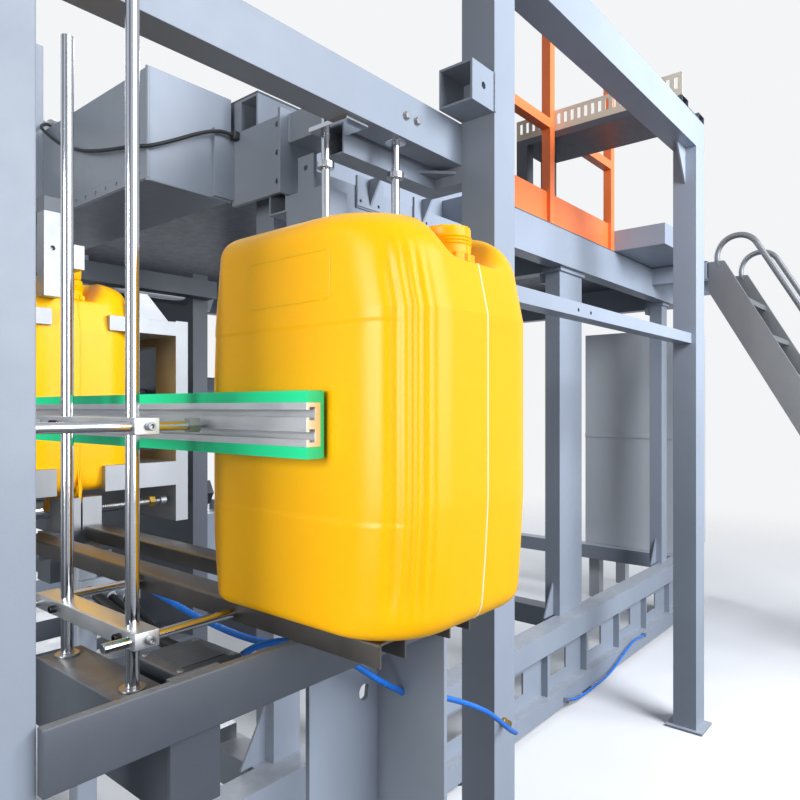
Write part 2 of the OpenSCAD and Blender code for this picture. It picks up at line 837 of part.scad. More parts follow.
function unit(v) = v / norm(v);
function tangent(p, i) = unit(p[min(i + 1, len(p) - 1)] - p[max(i - 1, 0)]);
function ring(p, i, r, n) = let (t = tangent(p, i), s = unit(cross(t, [0.03, 0.02, 1])),
  u = cross(s, t)) [for (k = [0 : n - 1]) p[i] + r * (s * cos(360 * k / n) + u * sin(360 * k / n))];
function smooth(p) = [for (i = [0 : len(p) - 2], f = [0, 0.25, 0.5, 0.75])
  let (a = p[max(i - 1, 0)], b = p[i], c = p[i + 1], d = p[min(i + 2, len(p) - 1)])
  0.5 * (2 * b + (c - a) * f + (2 * a - 5 * b + 4 * c - d) * f * f
    + (3 * b - a - 3 * c + d) * f * f * f)];

module sweep(path, r) {
  p = concat(smooth(path), [path[len(path) - 1]]);
  n = 10;
  pts = [for (i = [0 : len(p) - 1]) each ring(p, i, r, n)];
  last = (len(p) - 1) * n;
  sides = [for (i = [0 : len(p) - 2], k = [0 : n - 1])
    [i * n + k, i * n + (k + 1) % n, (i + 1) * n + (k + 1) % n, (i + 1) * n + k]];
  polyhedron(pts, concat(sides, [[for (k = [n - 1 : -1 : 0]) k]],
    [[for (k = [0 : n - 1]) last + k]]), convexity = 4);
}

// Heater cable that hangs off the box beam and ends at the tie plate
cable_run = [[130, 330, 2340], [180, 310, 2345], [222, 260, 2352], [254, 226, 2322], [391, 222, 2238],
  [520, 222, 2186], [646, 223, 2154], [782, 225, 2130], [846, 228, 2118], [866, 246, 2120],
  [874, 300, 2146], [876, 384, 2192], [876, 445, 2216], [876, 486, 2218]];

module black_cable() {
  color(black) {
    sweep(cable_run, 5);
    block([96, 131], [310, 350], span(beam_z[1], [0, 22]));
    block([866, 886], [485, tie_y], [2206, 2230]);
  }
}

module air_hoses() {
  color("#1f6fd6") sweep(hose_low, 6);
  color(dark_steel) for (y = [2290, 3300])
    block([base_right, 1022], [y, y + 10], span((y < 3000 ? 50 : 100), [0, 20]));
}

// Two ways along X that the clamp carriage runs on
way_ys = [-600, 600];

module shuttle_rails() {
  color(bright) for (y = way_ys)
    block([-1500, 700], span(y, [-30, 30]), span(base_top, [0, 45]));
}

module extruder_barrel() {
  color(bright) difference() {
    union() {
      bar_y([head_x, head_dia / 2 + 40, screw_z], barrel_dia, barrel_end - head_dia / 2 - 40);
      bar_y([head_x, head_dia / 2 + 40, screw_z], 260, 50);
      translate([head_x, 0, 0]) block([-130, 130], [barrel_end - 350, barrel_end],
        span(screw_z, [-130, 130]));
      translate([head_x, 0, 0]) block([-60, 60], [1635, 1695], [deck_top, screw_z - 60]);
      translate([head_x, 0, 0]) block([-110, 110], [barrel_end - 350, barrel_end],
        [deck_top, screw_z - 130]);
    }
    bar_y([head_x, 0, screw_z], screw_dia + 1, barrel_end + 10);
    bar_z([head_x, barrel_end - 175, screw_z], 110, 200);
  }
}

module heater_bands() {
  color("#a9a59b") for (i = [0 : 5]) difference() {
    bar_y([head_x, 360 + i * 330 + (i > 3 ? 60 : 0), screw_z], barrel_dia + 30, 240);
    bar_y([head_x, 350 + i * 330, screw_z], barrel_dia + 2 * fit, 400);
  }
}

// Screw with a square cut flight
module extruder_screw() {
  turns = 24;
  start = 300;
  color(bright) {
    bar_y([head_x, start, screw_z], screw_dia * 0.72, barrel_end + 60 - start);
    for (i = [0 : turns]) bar_y([head_x, start + 40 + i * 98, screw_z], screw_dia, 12);
  }
}

module screw_gearbox() {
  y = [barrel_end, barrel_end + 420];
  color("#5b6a78") difference() {
    union() {
      translate([head_x, 0, 0]) block([-260, 260], y, [deck_top, screw_z + 190]);
      bar_y([head_x, y[1], screw_z], 260, 40);
      for (s = [-1, 1]) translate([head_x, 0, 0])
        block([s * 290 - 30, s * 290 + 30], y + [30, -30], [deck_top, deck_top + 30]);
    }
    bar_y([head_x, y[0] - 1, screw_z], screw_dia * 0.72 + 2 * fit, 80);
  }
}

module drive_motor() {
  y = [barrel_end + 460, barrel_end + 1100];
  color("#47545f") difference() {
    union() {
      bar_y([head_x, y[0], screw_z], 420, y[1] - y[0]);
      translate([head_x, 0, 0]) block([-150, 150], y + [60, -60], [deck_top, screw_z - 120]);
      bar_y([head_x, y[1], screw_z], 360, 60);
      translate([head_x, 0, 0]) block([200, 290], y + [150, -250], span(screw_z, [-90, 90]));
    }
    for (a = [-60 : 12 : 240]) translate([head_x, y[0] + 40, screw_z]) rotate([0, a, 0])
      translate([203, 0, -3]) cube([20, y[1] - y[0] - 80, 6]);
  }
}

hopper_at = [head_x, barrel_end - 175];
hopper_foot = screw_z + 130;
hopper_top = hopper_foot + hopper_high;
hopper_throat = hopper_foot + hopper_high * 0.235;
hopper_rim = hopper_top - hopper_high * 0.31;
lid_hinge = [hopper_at[0], hopper_at[1] + hopper_wide / 2 + 10, hopper_top + 8];
lid_pin = 10;
sheet = 4;

// Square hopper: neck, funnel and box, with ears for the lid's hinge
module hopper() {
  wall = hopper_wide / 2;
  neck = hopper_neck / 2;
  bore = neck - 15;
  flare = hopper_rim - hopper_throat;
  color(bright) translate([hopper_at[0], hopper_at[1], 0]) difference() {
    union() {
      block([-neck, neck], [-neck, neck], [hopper_foot, hopper_throat]);
      translate([0, 0, hopper_throat]) linear_extrude(flare, scale = wall / neck)
        square(2 * neck, center = true);
      block([-wall, wall], [-wall, wall], [hopper_rim, hopper_top]);
    }
    translate([0, 0, hopper_throat]) linear_extrude(flare + 1, scale = (wall - sheet) / bore)
      square(2 * bore, center = true);
    block([sheet - wall, wall - sheet], [sheet - wall, wall - sheet], [hopper_rim, hopper_top + 1]);
    block([-bore, bore], [-bore, bore], [hopper_foot - 10, hopper_throat + 10]);
  }
  color(bright) difference() {
    for (s = [-1, 1] * hopper_wide * 0.27, e = [-53, 41])
      translate([lid_hinge[0] + s + e, hopper_at[1], 0])
        block([0, 12], [wall, wall + 20], [hopper_top - 60, lid_hinge[2] + 8]);
    bar_x(lid_hinge - [wall, 0, 0], lid_pin + 2 * fit, hopper_wide);
  }
}

module hopper_lid() {
  lid = hopper_wide / 2 + 4;
  knuckle = hopper_wide * 0.27;
  color(bright) {
    translate([hopper_at[0], hopper_at[1], 0])
      block([-lid, lid], [-lid, lid - 8], span(hopper_top, [run_gap, run_gap + 4]));
    for (s = [-1, 1]) bar_x(lid_hinge + [s * knuckle - 40, 0, 0], 14, 80);
    for (s = [-1, 1]) bar_x(lid_hinge + [s * knuckle - 54, 0, 0], lid_pin, 108);
    for (s = [-1, 1]) translate([lid_hinge[0] + s * knuckle, lid_hinge[1], 0])
      block([-30, 30], [-20, 0], span(hopper_top, [run_gap, run_gap + 4]));
  }
}

module die_head() {
  top = screw_z + 190;
  r = head_dia / 2;
  color("#8b9096") translate([head_x, 0, 0]) {
    bar_z([0, 0, die_under], 120, 60);
    bar_z([0, 0, die_under + 60], 220, 90);
    bar_z([0, 0, die_under + 150], head_dia, top - die_under - 150);
    bar_z([0, 0, top], head_dia * 0.7, 160);
    bar_y([0, 0, screw_z], 200, r + 40);
    block([-r, r], [r - 60, beam_y[0]], [beam_z[1] - 60, beam_z[1]]);
    block([-r, r], [beam_y[0], beam_y[1]], span(beam_z[1], [0, 20]));
    block([-r, r], [r - 60, beam_y[0]], span(beam_z[1], [0, 20]));
  }
}

pin_low = 2030;
pin_dia = 40;

// Guide block and air cylinder for the blow pin, bolted to the box beam
module blow_pin_guide() {
  color(steel) difference() {
    union() {
      translate([neck_ahead, 0, 0]) {
        block([-90, 90], [beam_y[0] - 40, beam_y[0]], [2100, 2330]);
        block([-90, 90], [beam_y[0] - 40, beam_y[0]], [2330, 2600]);
        block([-80, 80], [-70, beam_y[0] - 40], [2140, 2200]);
        block([-80, 80], [-70, beam_y[0] - 40], [2420, 2460]);
      }
      bar_z([neck_ahead, 0, 2460], 110, 260);
    }
    bar_z([neck_ahead, 0, 2100], pin_dia + 2 * fit, 600);
  }
}

module blow_pin() {
  color(bright) {
    bar_z([neck_ahead, 0, pin_low + 40], pin_dia, 560);
    bar_z([neck_ahead, 0, pin_low], 30, 40);
    translate([neck_ahead, 0, pin_low + 60]) cylinder(d = 64, h = 10, $fn = 48);
  }
}

cab_x = [214, 901];
cab_y = [base_rear, base_rear + 600];
cab_z = [416, 2010];
door_thick = 25;
door_hinge = [cab_x[1] + door_thick / 2, cab_y[1] + 9];
hinge_zs = [600, 1750];
hinge_long = 80;
hinge_pin = 8;

// Light grey cabinet on a plinth, open to the right where its door hangs
module control_cabinet() {
  color("#c3c8cc") {
    difference() {
      block(cab_x, cab_y, cab_z);
      block([cab_x[0] + 20, cab_x[1] + 1], cab_y + [20, -20], cab_z + [20, -20]);
    }
    block([cab_x[0] + 20, cab_x[0] + 40], cab_y + [60, -60], cab_z + [80, -80]);
    block([cab_x[0], cab_x[1] - 20], [cab_y[0] - 6, cab_y[0]], [1228, 1256]);
    for (z = hinge_zs) {
      for (e = [-12, hinge_long])
        block([cab_x[1] - 20, door_hinge[0] + 7], span(cab_y[1], [0, 17]), span(z + e, [0, 12]));
      bar_z([door_hinge[0], door_hinge[1], z - 6], hinge_pin, hinge_long + 12);
    }
  }
  color(dark_steel) {
    for (x = [cab_x[0] + 30, cab_x[1] - 110], y = [cab_y[0], cab_y[1] - 80])
      block([x, x + 80], [y, y + 80], [0, cab_z[0]]);
  }
}

handle_at = [cab_x[1] + door_thick, cab_y[0] + 60, 1250];

module cabinet_door() {
  x = [cab_x[1] + run_gap, cab_x[1] + door_thick];
  color("#c3c8cc") difference() {
    union() {
      block(x, cab_y + [3, -3], cab_z + [3, -3]);
      for (z = hinge_zs) {
        bar_z([door_hinge[0], door_hinge[1], z + run_gap], 16, hinge_long - 2 * run_gap);
        block([x[0] + 4, x[0] + 12], [cab_y[1] - 3, cab_y[1] + 5],
          [z + run_gap, z + hinge_long - run_gap]);
      }
    }
    for (z = hinge_zs)
      bar_z([door_hinge[0], door_hinge[1], z - 10], hinge_pin + 2 * fit, hinge_long + 20);
    bar_x([x[0] - 1, handle_at[1], handle_at[2]], 14 + 2 * fit, 60);
  }
}

module door_handle() {
  color(black) {
    bar_x(handle_at - [18, 0, 0], 14, 30);
    translate(handle_at) bar_x([run_gap, 0, 0], 34, 12);
    block([handle_at[0] + 8, handle_at[0] + 22], span(handle_at[1], [-9, 9]),
      span(handle_at[2], [-110, 8]));
  }
}

arm_at = [600, base_front - 60];
panel_z = [1330, 1750];
button_z = 1430;
button_dia = 22;
button_travel = 5;
stop_x = arm_at[0] + 170;
start_x = arm_at[0] + 90;

// Post and arm of the operator panel, on the front of the base
module panel_arm() {
  color(steel) {
    bar_z([arm_at[0], arm_at[1], 10], 60, panel_z[0] - 40);
    bar_z([arm_at[0], arm_at[1], 0], 160, 10);
    block(span(arm_at[0], [-50, 50]), [base_front - 30, base_front], [320, 400]);
    bar_z([arm_at[0], arm_at[1], panel_z[0] - 30], 36, 30 + 60);
  }
}

// Swivelling operator panel: a tilted housing with screen recess and push buttons
module operator_panel() {
  c = arm_at;
  color("#aeb4ba") difference() {
    union() {
      block(span(c[0], [-230, 230]), span(c[1], [-70, 70]), panel_z);
      bar_z([c[0], c[1], panel_z[0] - 25], 74, 30);
    }
    bar_z([c[0], c[1], panel_z[0] - 30], 36 + 2 * fit, 92);
    block(span(c[0], [-170, 170]), span(c[1], [-71, -62]), [1480, 1710]);
    for (x = [stop_x, start_x]) bar_y([x, c[1] - 71, button_z], button_dia + 2 * fit, 40);
  }
  color(black) for (i = [0 : 3])
    bar_y([c[0] - 170 + i * 55, c[1] - 76, button_z], button_dia, 6);
}

module button_at(x, head, thick) {
  bar_y([x, arm_at[1] - 70 - button_travel - 1, button_z], button_dia, 26);
  bar_y([x, arm_at[1] - 70 - button_travel - 1 - thick, button_z], head, thick);
}

module stop_button() {
  color("#c5201c") button_at(stop_x, 40, 12);
}

module start_button() {
  color("#2f8f4a") button_at(start_x, 30, 6);
}

module hydraulic_unit() {
  color("#3f5262") {
    block([-1700, -900], [1400, 2400], span(base_top, [0, 420]));
    bar_y([-1500, 1500, base_top + 560], 240, 420);
    block([-1600, -1400], [1560, 1860], span(base_top, [420, 470]));
    bar_z([-1050, 1600, base_top + 420], 90, 120);
    bar_z([-1050, 1800, base_top + 420], 140, 60);
  }
}

end_y = [end_in, end_in + end_thick];
platen_y = [mould_thick, mould_thick + platen_thick];
wide = platen_wid / 2;
platen_half = wide - 5;
rod_low = (tie_low + tie_high) / 2;
ram_dia = 60;

// Carriage: foot frame on four runner blocks, two end plates and the mask's top beam
module carriage_frame() {
  rail_top = base_top + 45;
  color(steel) {
    for (s = [-1, 1]) difference() {
      block([-wide, wide], s > 0 ? end_y : [-end_y[1], -end_y[0]], [carriage_z, platen_top]);
      for (x = [-tie_x, tie_x], z = [tie_low, tie_high])
        bar_y([x, s * end_y[0] - 100, z], tie_dia + 2 * fit, 300);
      bar_y([0, s * end_y[0] - 100, rod_low], ram_dia + 2 * fit, 300);
    }
    for (x = [-wide, wide - 120])
      tube_y([x, x + 120], [-end_y[1], end_y[1]], [carriage_z - 120, carriage_z], 10);
    for (x = [-wide, wide - 120], y = way_ys) difference() {
      block([x, x + 120], span(y, [-60, 60]), [base_top + 5, carriage_z - 120]);
      block([x - 1, x + 121], span(y, [-30 - run_gap, 30 + run_gap]),
        [base_top, rail_top + run_gap]);
    }
    block([wide, wide + 60], [-end_y[1], end_y[1]], [tie_high - 10, tie_high + 50]);
    block([wide + 60, grip_x[1]], [-83, -48], [clamp_top, clamp_top + 30]);
    block([wide, wide + 60], [-40, 40], [carriage_z - 120, 1130]);
    block([wide - 230, wide], [-40, 40], [carriage_z - 120, carriage_z - 40]);
    tube_y([wide - 350, wide - 230], [-end_y[1], end_y[1]], [carriage_z - 120, carriage_z], 10);
    block([wide + 60, mask_face - 60], [-40, 40], [1130 - 40, 1130]);
    block([mask_face - 60, mask_face], [-65, 65], [1130 - 40, 1191]);
  }
}

module tie_bars() {
  color(bright) for (x = [-tie_x, tie_x], z = [tie_low, tie_high]) {
    bar_y([x, -end_y[1] - 30, z], tie_dia, 2 * end_y[1] + 60);
    for (s = [-1, 1]) translate([x, s * (end_y[1] + 15), z]) rotate([90, 0, 0])
      difference() {
        cylinder(d = tie_dia + 40, h = 30, center = true, $fn = 6);
        cylinder(d = tie_dia - 1, h = 40, center = true, $fn = 40);
      }
  }
}

module clamp_cylinders() {
  long = mould_stroke + 160;
  color("#5b6a78") for (s = [-1, 1]) scale([1, s, 1]) difference() {
    union() {
      bar_y([0, end_y[1], rod_low], 170, long);
      bar_y([0, end_y[1], rod_low], 220, 30);
      bar_y([0, end_y[1] + long - 30, rod_low], 190, 30);
    }
    bar_y([0, end_y[1] - 1, rod_low], ram_dia + 2 * fit, long - 30);
  }
}

// Platen with bores for the tie bars and its clamp ram
module platen(s) {
  color(steel) scale([1, s, 1]) difference() {
    union() {
      block([-platen_half, platen_half], platen_y, [platen_under, platen_top]);
      bar_y([0, platen_y[1], rod_low], 120, 30);
      bar_y([0, platen_y[1], rod_low], ram_dia, end_y[1] - platen_y[1] + 60);
    }
    for (x = [-tie_x, tie_x], z = [tie_low, tie_high])
      bar_y([x, 0, z], tie_dia + 2 * fit, end_y[0]);
  }
}

module front_platen() {
  platen(-1);
}

module rear_platen() {
  platen(1);
}

// Mould half with its half of the cavity and the channel for the blow pin
module mould_half(s) {
  y = s > 0 ? [0, mould_thick] : [-mould_thick, 0];
  color(alu) difference() {
    block([-mould_len / 2, mould_len / 2], y, [mould_under, mould_top]);
    translate([0, 0, mask_can_z]) cavity();
    bar_z([neck_ahead, 0, mask_can_z + can_high - 10], pin_dia + 8, 400);
    for (x = [-mould_len / 2 + 30, mould_len / 2 - 30], z = [mould_under + 40, mould_top - 40])
      bar_y([x, -30, z], 26, 60);
  }
}

// The can's outer form with its neck, as the mould holds it
module cavity() {
  intersection() {
    linear_extrude(can_high) rounded(half[0], half[1], can_corner);
    rotate([90, 0, 0]) linear_extrude(can_wid, center = true) can_side();
    rotate([90, 0, 90]) linear_extrude(can_len, center = true)
      translate([0, can_high / 2]) rounded(half[1], can_high / 2, can_corner * 0.7);
  }
}

module front_mould() {
  mould_half(-1);
}

module rear_mould() {
  mould_half(1);
}

mask_in = 222;
mask_window = [1345, 1600];
mask_plate = 32;
mask_face = mask_can_x + half[0] + 20;
grip_x = [mask_can_x + half[0] + 2, mask_can_x + half[0] + 36];

clamp_top = 1849;

// Half of the mask: side plate, gripping arms before and behind the can, white gussets
module mask(s) {
  y = [mask_in, mask_in + mask_plate];
  front = [mask_face - 17, mask_face];
  behind = [mask_can_x - half[0] - 20, mask_can_x - half[0] - 3];
  reach = half[1] + 4;
  scale([1, s, 1]) {
    color(alu) difference() {
      block([wide, mask_face], y, [1182, 1657]);
      block([wide + 60, mask_face - 90], y + [-1, 1], mask_window);
    }
    color(alu) {
      block([wide - 70, wide], [mask_in, platen_y[0]], [1182, 1657]);
      block(front, [61, mask_in], [1621, 1654]);
      block(front, [51, mask_in], [1268, 1324]);
      block(behind, [61, mask_in], [1621, 1654]);
      block(behind, [51, mask_in], [1268, 1324]);
      block([behind[1], front[0]], [reach, mask_in], [1621, 1654]);
      block([behind[1], front[0]], [reach, mask_in], [1268, 1324]);
    }
    color("white") translate([mask_face - 12, 0, 0]) rotate([90, 0, 90])
      linear_extrude(10) polygon([[131, 1654], [203, 1654], [150, 1711], [131, 1711]]);
  }
}

module front_mask() {
  mask(-1);
}

module rear_mask() {
  mask(1);
}

// Blocks that hold the tail flash and the neck flash, with an adjusting screw and nut
module flash_clamps() {
  x = [mask_face - 55, mask_face];
  color(alu) {
    for (s = [-1, 1]) scale([1, s, 1]) block(x, [flash_thick / 2 + 0.3, 43], [1191, 1260]);
    difference() {
      block(grip_x, [-83, -48], [1677, clamp_top]);
      bar_x([grip_x[1] - 8, -66, 1775], 10, 20);
    }
    block([mask_can_x + neck_ahead - 20, grip_x[1]], [-48, -flash_thick / 2 - 0.3], [1740, 1790]);
  }
  color(bright) bar_y([mask_face - 25, 43, 1232], 12, 150);
  color("#b08d3c") bar_y([mask_face - 25, 193, 1232], 22, 14);
}

base_side_right();
base_side_left();
base_cross_beams();
levelling_feet();
platform_columns();
platform_frame();
platform_deck();
railing();
ladder();
guard_posts();
guard_beams();
cable_tray();
cable_bridge();
top_beam();
top_brackets();
slide_cross_beam();
rod_foot();
upright_rods();
rod_collars();
clamp_bars();
reach_rods();
clamp_screws();
guide_profile();
guide_strip();
slide_rails();
product_can();
hanging_rods();
junction_box();
air_hoses();
black_cable();
shuttle_rails();
extruder_barrel();
heater_bands();
extruder_screw();
screw_gearbox();
drive_motor();
hopper();
hopper_lid();
die_head();
blow_pin_guide();
blow_pin();
control_cabinet();
cabinet_door();
door_handle();
panel_arm();
operator_panel();
stop_button();
start_button();
hydraulic_unit();
carriage_frame();
tie_bars();
clamp_cylinders();
held_can();
flash_clamps();
front_platen();
front_mould();
front_mask();
rear_platen();
rear_mould();
rear_mask();
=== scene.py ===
# %% [markdown]
# # A shuttle blow moulding machine, seen from beside its discharge slide
# The machine blows 30 litre jerry cans. An extruder on a platform pushes a hot tube of polyethylene
# down between two moulds, a carriage shuttles them to the blow pin, and a mask carries each can out
# to a slide, where a green guide rail steadies it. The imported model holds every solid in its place, in
# metres. This file gives those solids their finishes, and adds the forms a plain solid can't show:
# the blown can with its flutes and thread, weld beads, screws, hoses and cables.

# %% Load the frame
import math

import bpy
import numpy as np
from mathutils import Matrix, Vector
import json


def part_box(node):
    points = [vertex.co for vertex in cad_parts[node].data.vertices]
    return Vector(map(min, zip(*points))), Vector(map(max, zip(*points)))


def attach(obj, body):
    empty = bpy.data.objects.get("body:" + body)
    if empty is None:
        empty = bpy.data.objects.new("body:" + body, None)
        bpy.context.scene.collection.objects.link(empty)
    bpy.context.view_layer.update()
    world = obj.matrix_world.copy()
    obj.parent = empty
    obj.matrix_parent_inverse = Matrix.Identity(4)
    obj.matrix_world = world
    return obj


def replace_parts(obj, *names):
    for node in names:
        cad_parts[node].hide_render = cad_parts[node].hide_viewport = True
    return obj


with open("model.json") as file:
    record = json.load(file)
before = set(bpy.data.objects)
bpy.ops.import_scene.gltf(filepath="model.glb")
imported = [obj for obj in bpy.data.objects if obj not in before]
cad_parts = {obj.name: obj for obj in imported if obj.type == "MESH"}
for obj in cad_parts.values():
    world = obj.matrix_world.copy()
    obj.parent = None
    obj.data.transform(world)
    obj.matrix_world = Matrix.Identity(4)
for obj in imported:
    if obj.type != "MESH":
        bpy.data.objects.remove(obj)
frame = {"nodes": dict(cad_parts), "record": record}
nodes, record = frame["nodes"], frame["record"]
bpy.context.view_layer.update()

# %% [markdown]
# ## Camera
# The photograph was taken at chest height, level, a step away from the can, so the camera is level
# too: its two vanishing points gave the angle of 40 degrees and the focal length, and a small
# upward shift puts the horizon where it was without tilting the uprights.

# %% Set the camera
EYE = (2.45, -0.655, 1.45)
TURN_LEFT = math.radians(40)
HORIZON_SHIFT = 0.01

scene = bpy.context.scene
camera = bpy.data.objects.new("camera", bpy.data.cameras.new("camera"))
scene.collection.objects.link(camera)
camera.location = EYE
camera.rotation_euler = (math.radians(90), 0, TURN_LEFT)
camera.data.lens = 30.15
camera.data.sensor_width = 36
camera.data.shift_y = HORIZON_SHIFT
camera.data.clip_end = 60
scene.camera = camera
scene.view_settings.view_transform = "Standard"
print("camera looks along", [round(v, 3) for v in camera.matrix_world.to_3x3() @ Vector((0, 0, -1))])

# %% [markdown]
# ## Helpers
# A colour is written as sRGB hex and turned to linear once. One function adds any shader node with
# its settings and links. Another makes a mesh from a grid of points: every new piece below is a
# surface computed as whole numpy arrays, and this turns the grid into faces.

# %% Colour and node helpers
def linear(code):
    """Linear RGB of an sRGB hex colour: v/12.92 below 0.04045, else ((v + 0.055) / 1.055) ** 2.4."""
    v = np.array([int(code[i:i + 2], 16) for i in (1, 3, 5)]) / 255.0
    return tuple(np.where(v <= 0.04045, v / 12.92, ((v + 0.055) / 1.055) ** 2.4)) + (1.0,)


def add(mat, kind, settings=None, **inputs):
    """Adds a node of that kind. Settings are its properties. Inputs are constants or (node, socket) links,
    by the socket's name, or by its number after a low line, such as _6."""
    node = mat.node_tree.nodes.new(kind)
    for key, value in (settings or {}).items():
        setattr(node, key, value)
    for key, value in inputs.items():
        socket = node.inputs[int(key[1:])] if key[0] == "_" else node.inputs[key.replace("_", " ")]
        if isinstance(value, tuple) and len(value) == 2 and hasattr(value[0], "outputs"):
            mat.node_tree.links.new(value[0].outputs[value[1]], socket)
        else:
            socket.default_value = value
    return node


def start(name, **constants):
    """A new material whose Principled shader has these constants; returns (material, shader, coordinates)."""
    mat = bpy.data.materials.new(name)
    mat.use_nodes = True
    shader = mat.node_tree.nodes["Principled BSDF"]
    for key, value in constants.items():
        shader.inputs[key.replace("_", " ")].default_value = value
    return mat, shader, add(mat, "ShaderNodeTexCoord")


def link(mat, source, socket, shader, target):
    """Links one node's output to one of the shader's inputs."""
    mat.node_tree.links.new(source.outputs[socket], shader.inputs[target])


def two_tone(mat, noise, colour, down, up):
    """A colour between two tones, mixed by a noise: the hex colour times 1 - down, and times 1 + up."""
    rgb = np.array(linear(colour)[:3])
    dark, light = rgb * (1 - down), np.minimum(rgb * (1 + up), 1)
    return add(mat, "ShaderNodeMix", {"data_type": "RGBA"}, Factor=(noise, "Fac"),
               _6=(*dark, 1), _7=(*light, 1))


def vary_gloss(mat, noise, shader, low, high):
    """Roughness from low to high while the noise goes from 0.3 to 0.7, where most of its values lie."""
    rough = add(mat, "ShaderNodeMapRange", Value=(noise, "Fac"), From_Min=0.3, From_Max=0.7,
                To_Min=low, To_Max=high)
    link(mat, rough, "Result", shader, "Roughness")


# %% Mesh helpers
def grid_mesh(name, points, around=True, caps=True, along=False):
    """Mesh of a (rows, columns, 3) grid in millimetres, with a quad between neighbours. A row joins up with
    itself when around is set, a column when along is set, and caps adds a fan from the middle of the first
    row and of the last."""
    rows, cols = points.shape[:2]
    index = np.arange(rows * cols).reshape(rows, cols)
    across = np.concatenate([index, index[:, :1]], 1) if around else index
    if along:
        across = np.concatenate([across, across[:1]], 0)
    quads = np.stack([across[:-1, :-1], across[:-1, 1:], across[1:, 1:], across[1:, :-1]], -1).reshape(-1, 4)
    verts, faces = points.reshape(-1, 3), quads.tolist()
    if caps:
        verts = np.concatenate([verts, points[:1].mean(1), points[-1:].mean(1)])
        ring, n = np.append(np.arange(cols), 0), rows * cols
        low = np.stack([np.full(cols, n), ring[1:], ring[:-1]], 1)
        last = ring + (rows - 1) * cols
        high = np.stack([np.full(cols, n + 1), last[:-1], last[1:]], 1)
        faces += low.tolist() + high.tolist()
    mesh = bpy.data.meshes.new(name)
    mesh.from_pydata((verts * 0.001).tolist(), [], faces)
    mesh.update()
    return mesh


def piece(name, mesh, material, body, smooth=40):
    """Links a mesh as a shown piece: finish, the body it rides on, and smooth shading below that edge angle
    in degrees."""
    obj = bpy.data.objects.new(name, mesh)
    scene.collection.objects.link(obj)
    mesh.materials.append(material)
    mesh.polygons.foreach_set("use_smooth", np.ones(len(mesh.polygons), bool))
    if smooth:
        mesh.set_sharp_from_angle(angle=math.radians(smooth))
    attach(obj, body)
    return obj


def ease(a, b, x):
    """Smooth step from 0 at a to 1 at b: t * t * (3 - 2t) with t the clamped fraction."""
    t = np.clip((x - a) / (b - a), 0, 1)
    return t * t * (3 - 2 * t)


# %% [markdown]
# ## Painted steel
# The frame is welded box section sprayed with machine enamel. Enamel gives a soft, slightly
# rippled gloss, called orange peel, its edges are rounded by the paint, and dust lies on faces that
# look up. A Bevel node rounds the edges, noise at 3 mm makes the ripple, wider noise varies the
# tone, and the upward part of the normal mixes in the dust.

# %% Enamel, powder coat and dusty paints
def enamel(name, colour, dust, roughness=0.38, ripple=0.25, dusty=0.35, tone=0.10):
    """Sprayed enamel: tone varies by noise 250 mm wide, dust grows with the normal's Z, and the ripple of
    the orange peel is noise 3 mm wide."""
    mat, shader, at = start(name, Coat_Weight=0.12, Coat_Roughness=0.2)
    wide = add(mat, "ShaderNodeTexNoise", Vector=(at, "Object"), Scale=4.0, Detail=5.0, Roughness=0.62)
    clean = two_tone(mat, wide, colour, tone, tone)
    normal = add(mat, "ShaderNodeNewGeometry")
    up = add(mat, "ShaderNodeSeparateXYZ", Vector=(normal, "Normal"))
    fine = add(mat, "ShaderNodeTexNoise", Vector=(at, "Object"), Scale=22.0, Detail=8.0, Roughness=0.7)
    speck = add(mat, "ShaderNodeMapRange", {"interpolation_type": "SMOOTHSTEP"}, Value=(fine, "Fac"),
                From_Min=0.42, From_Max=0.68)
    upward = add(mat, "ShaderNodeMapRange", Value=(up, "Z"), From_Min=0.35, From_Max=0.95, To_Max=dusty)
    # Dust lies by the share that looks up, and twice as thick where the fine noise has a speck
    lying = add(mat, "ShaderNodeMath", {"operation": "MULTIPLY_ADD"},
                _0=(upward, "Result"), _1=(speck, "Result"), _2=(upward, "Result"))
    paint = add(mat, "ShaderNodeMix", {"data_type": "RGBA"},
                Factor=(lying, "Value"), _6=(clean, "Result"), _7=linear(dust))
    link(mat, paint, "Result", shader, "Base Color")
    vary_gloss(mat, fine, shader, roughness - 0.07, roughness + 0.1)
    edge = add(mat, "ShaderNodeBevel", {"samples": 4}, Radius=0.0022)
    peel = add(mat, "ShaderNodeTexNoise", Vector=(at, "Object"), Scale=330.0, Detail=2.0)
    bump = add(mat, "ShaderNodeBump", Strength=ripple, Distance=0.0004,
               Height=(peel, "Fac"), Normal=(edge, "Normal"))
    link(mat, bump, "Normal", shader, "Normal")
    return mat


grey_enamel = enamel("Blue_grey_machine_enamel", "#8A93A0", "#B4B8BC")
# Dark enamel is the real paint of the slide's plates and lid; on the carriage frame it is painted shade.
dark_enamel_and_painted_shade = enamel("Dark_grey_enamel_and_painted_shade", "#4C525B", "#7C8086", dusty=0.45)
pale_coat = enamel("Pale_grey_powder_coat", "#CBD0D6", "#C0C0BC", roughness=0.45, ripple=0.4, dusty=0.2,
                   tone=0.05)
orange_enamel = enamel("Orange_safety_enamel", "#E8743C", "#C99C7E", roughness=0.35)
cream_coat = enamel("Cream_powder_coat", "#D9D3C1", "#C4BFB0", roughness=0.42)
print("paints:", [m.name for m in (grey_enamel, dark_enamel_and_painted_shade, pale_coat, orange_enamel, cream_coat)])

# %% [markdown]
# ## Bare metals
# The rods are hard-chromed and ground: a mirror with fine rings. The guide profile is extruded
# aluminium with die lines along it, the mask and moulds are milled aluminium, barrel and hopper are
# bright steel, and the slide's rails a duller one. Each is a metal with its own reflectance, and
# stretched noise for the marks of the tool that made it.

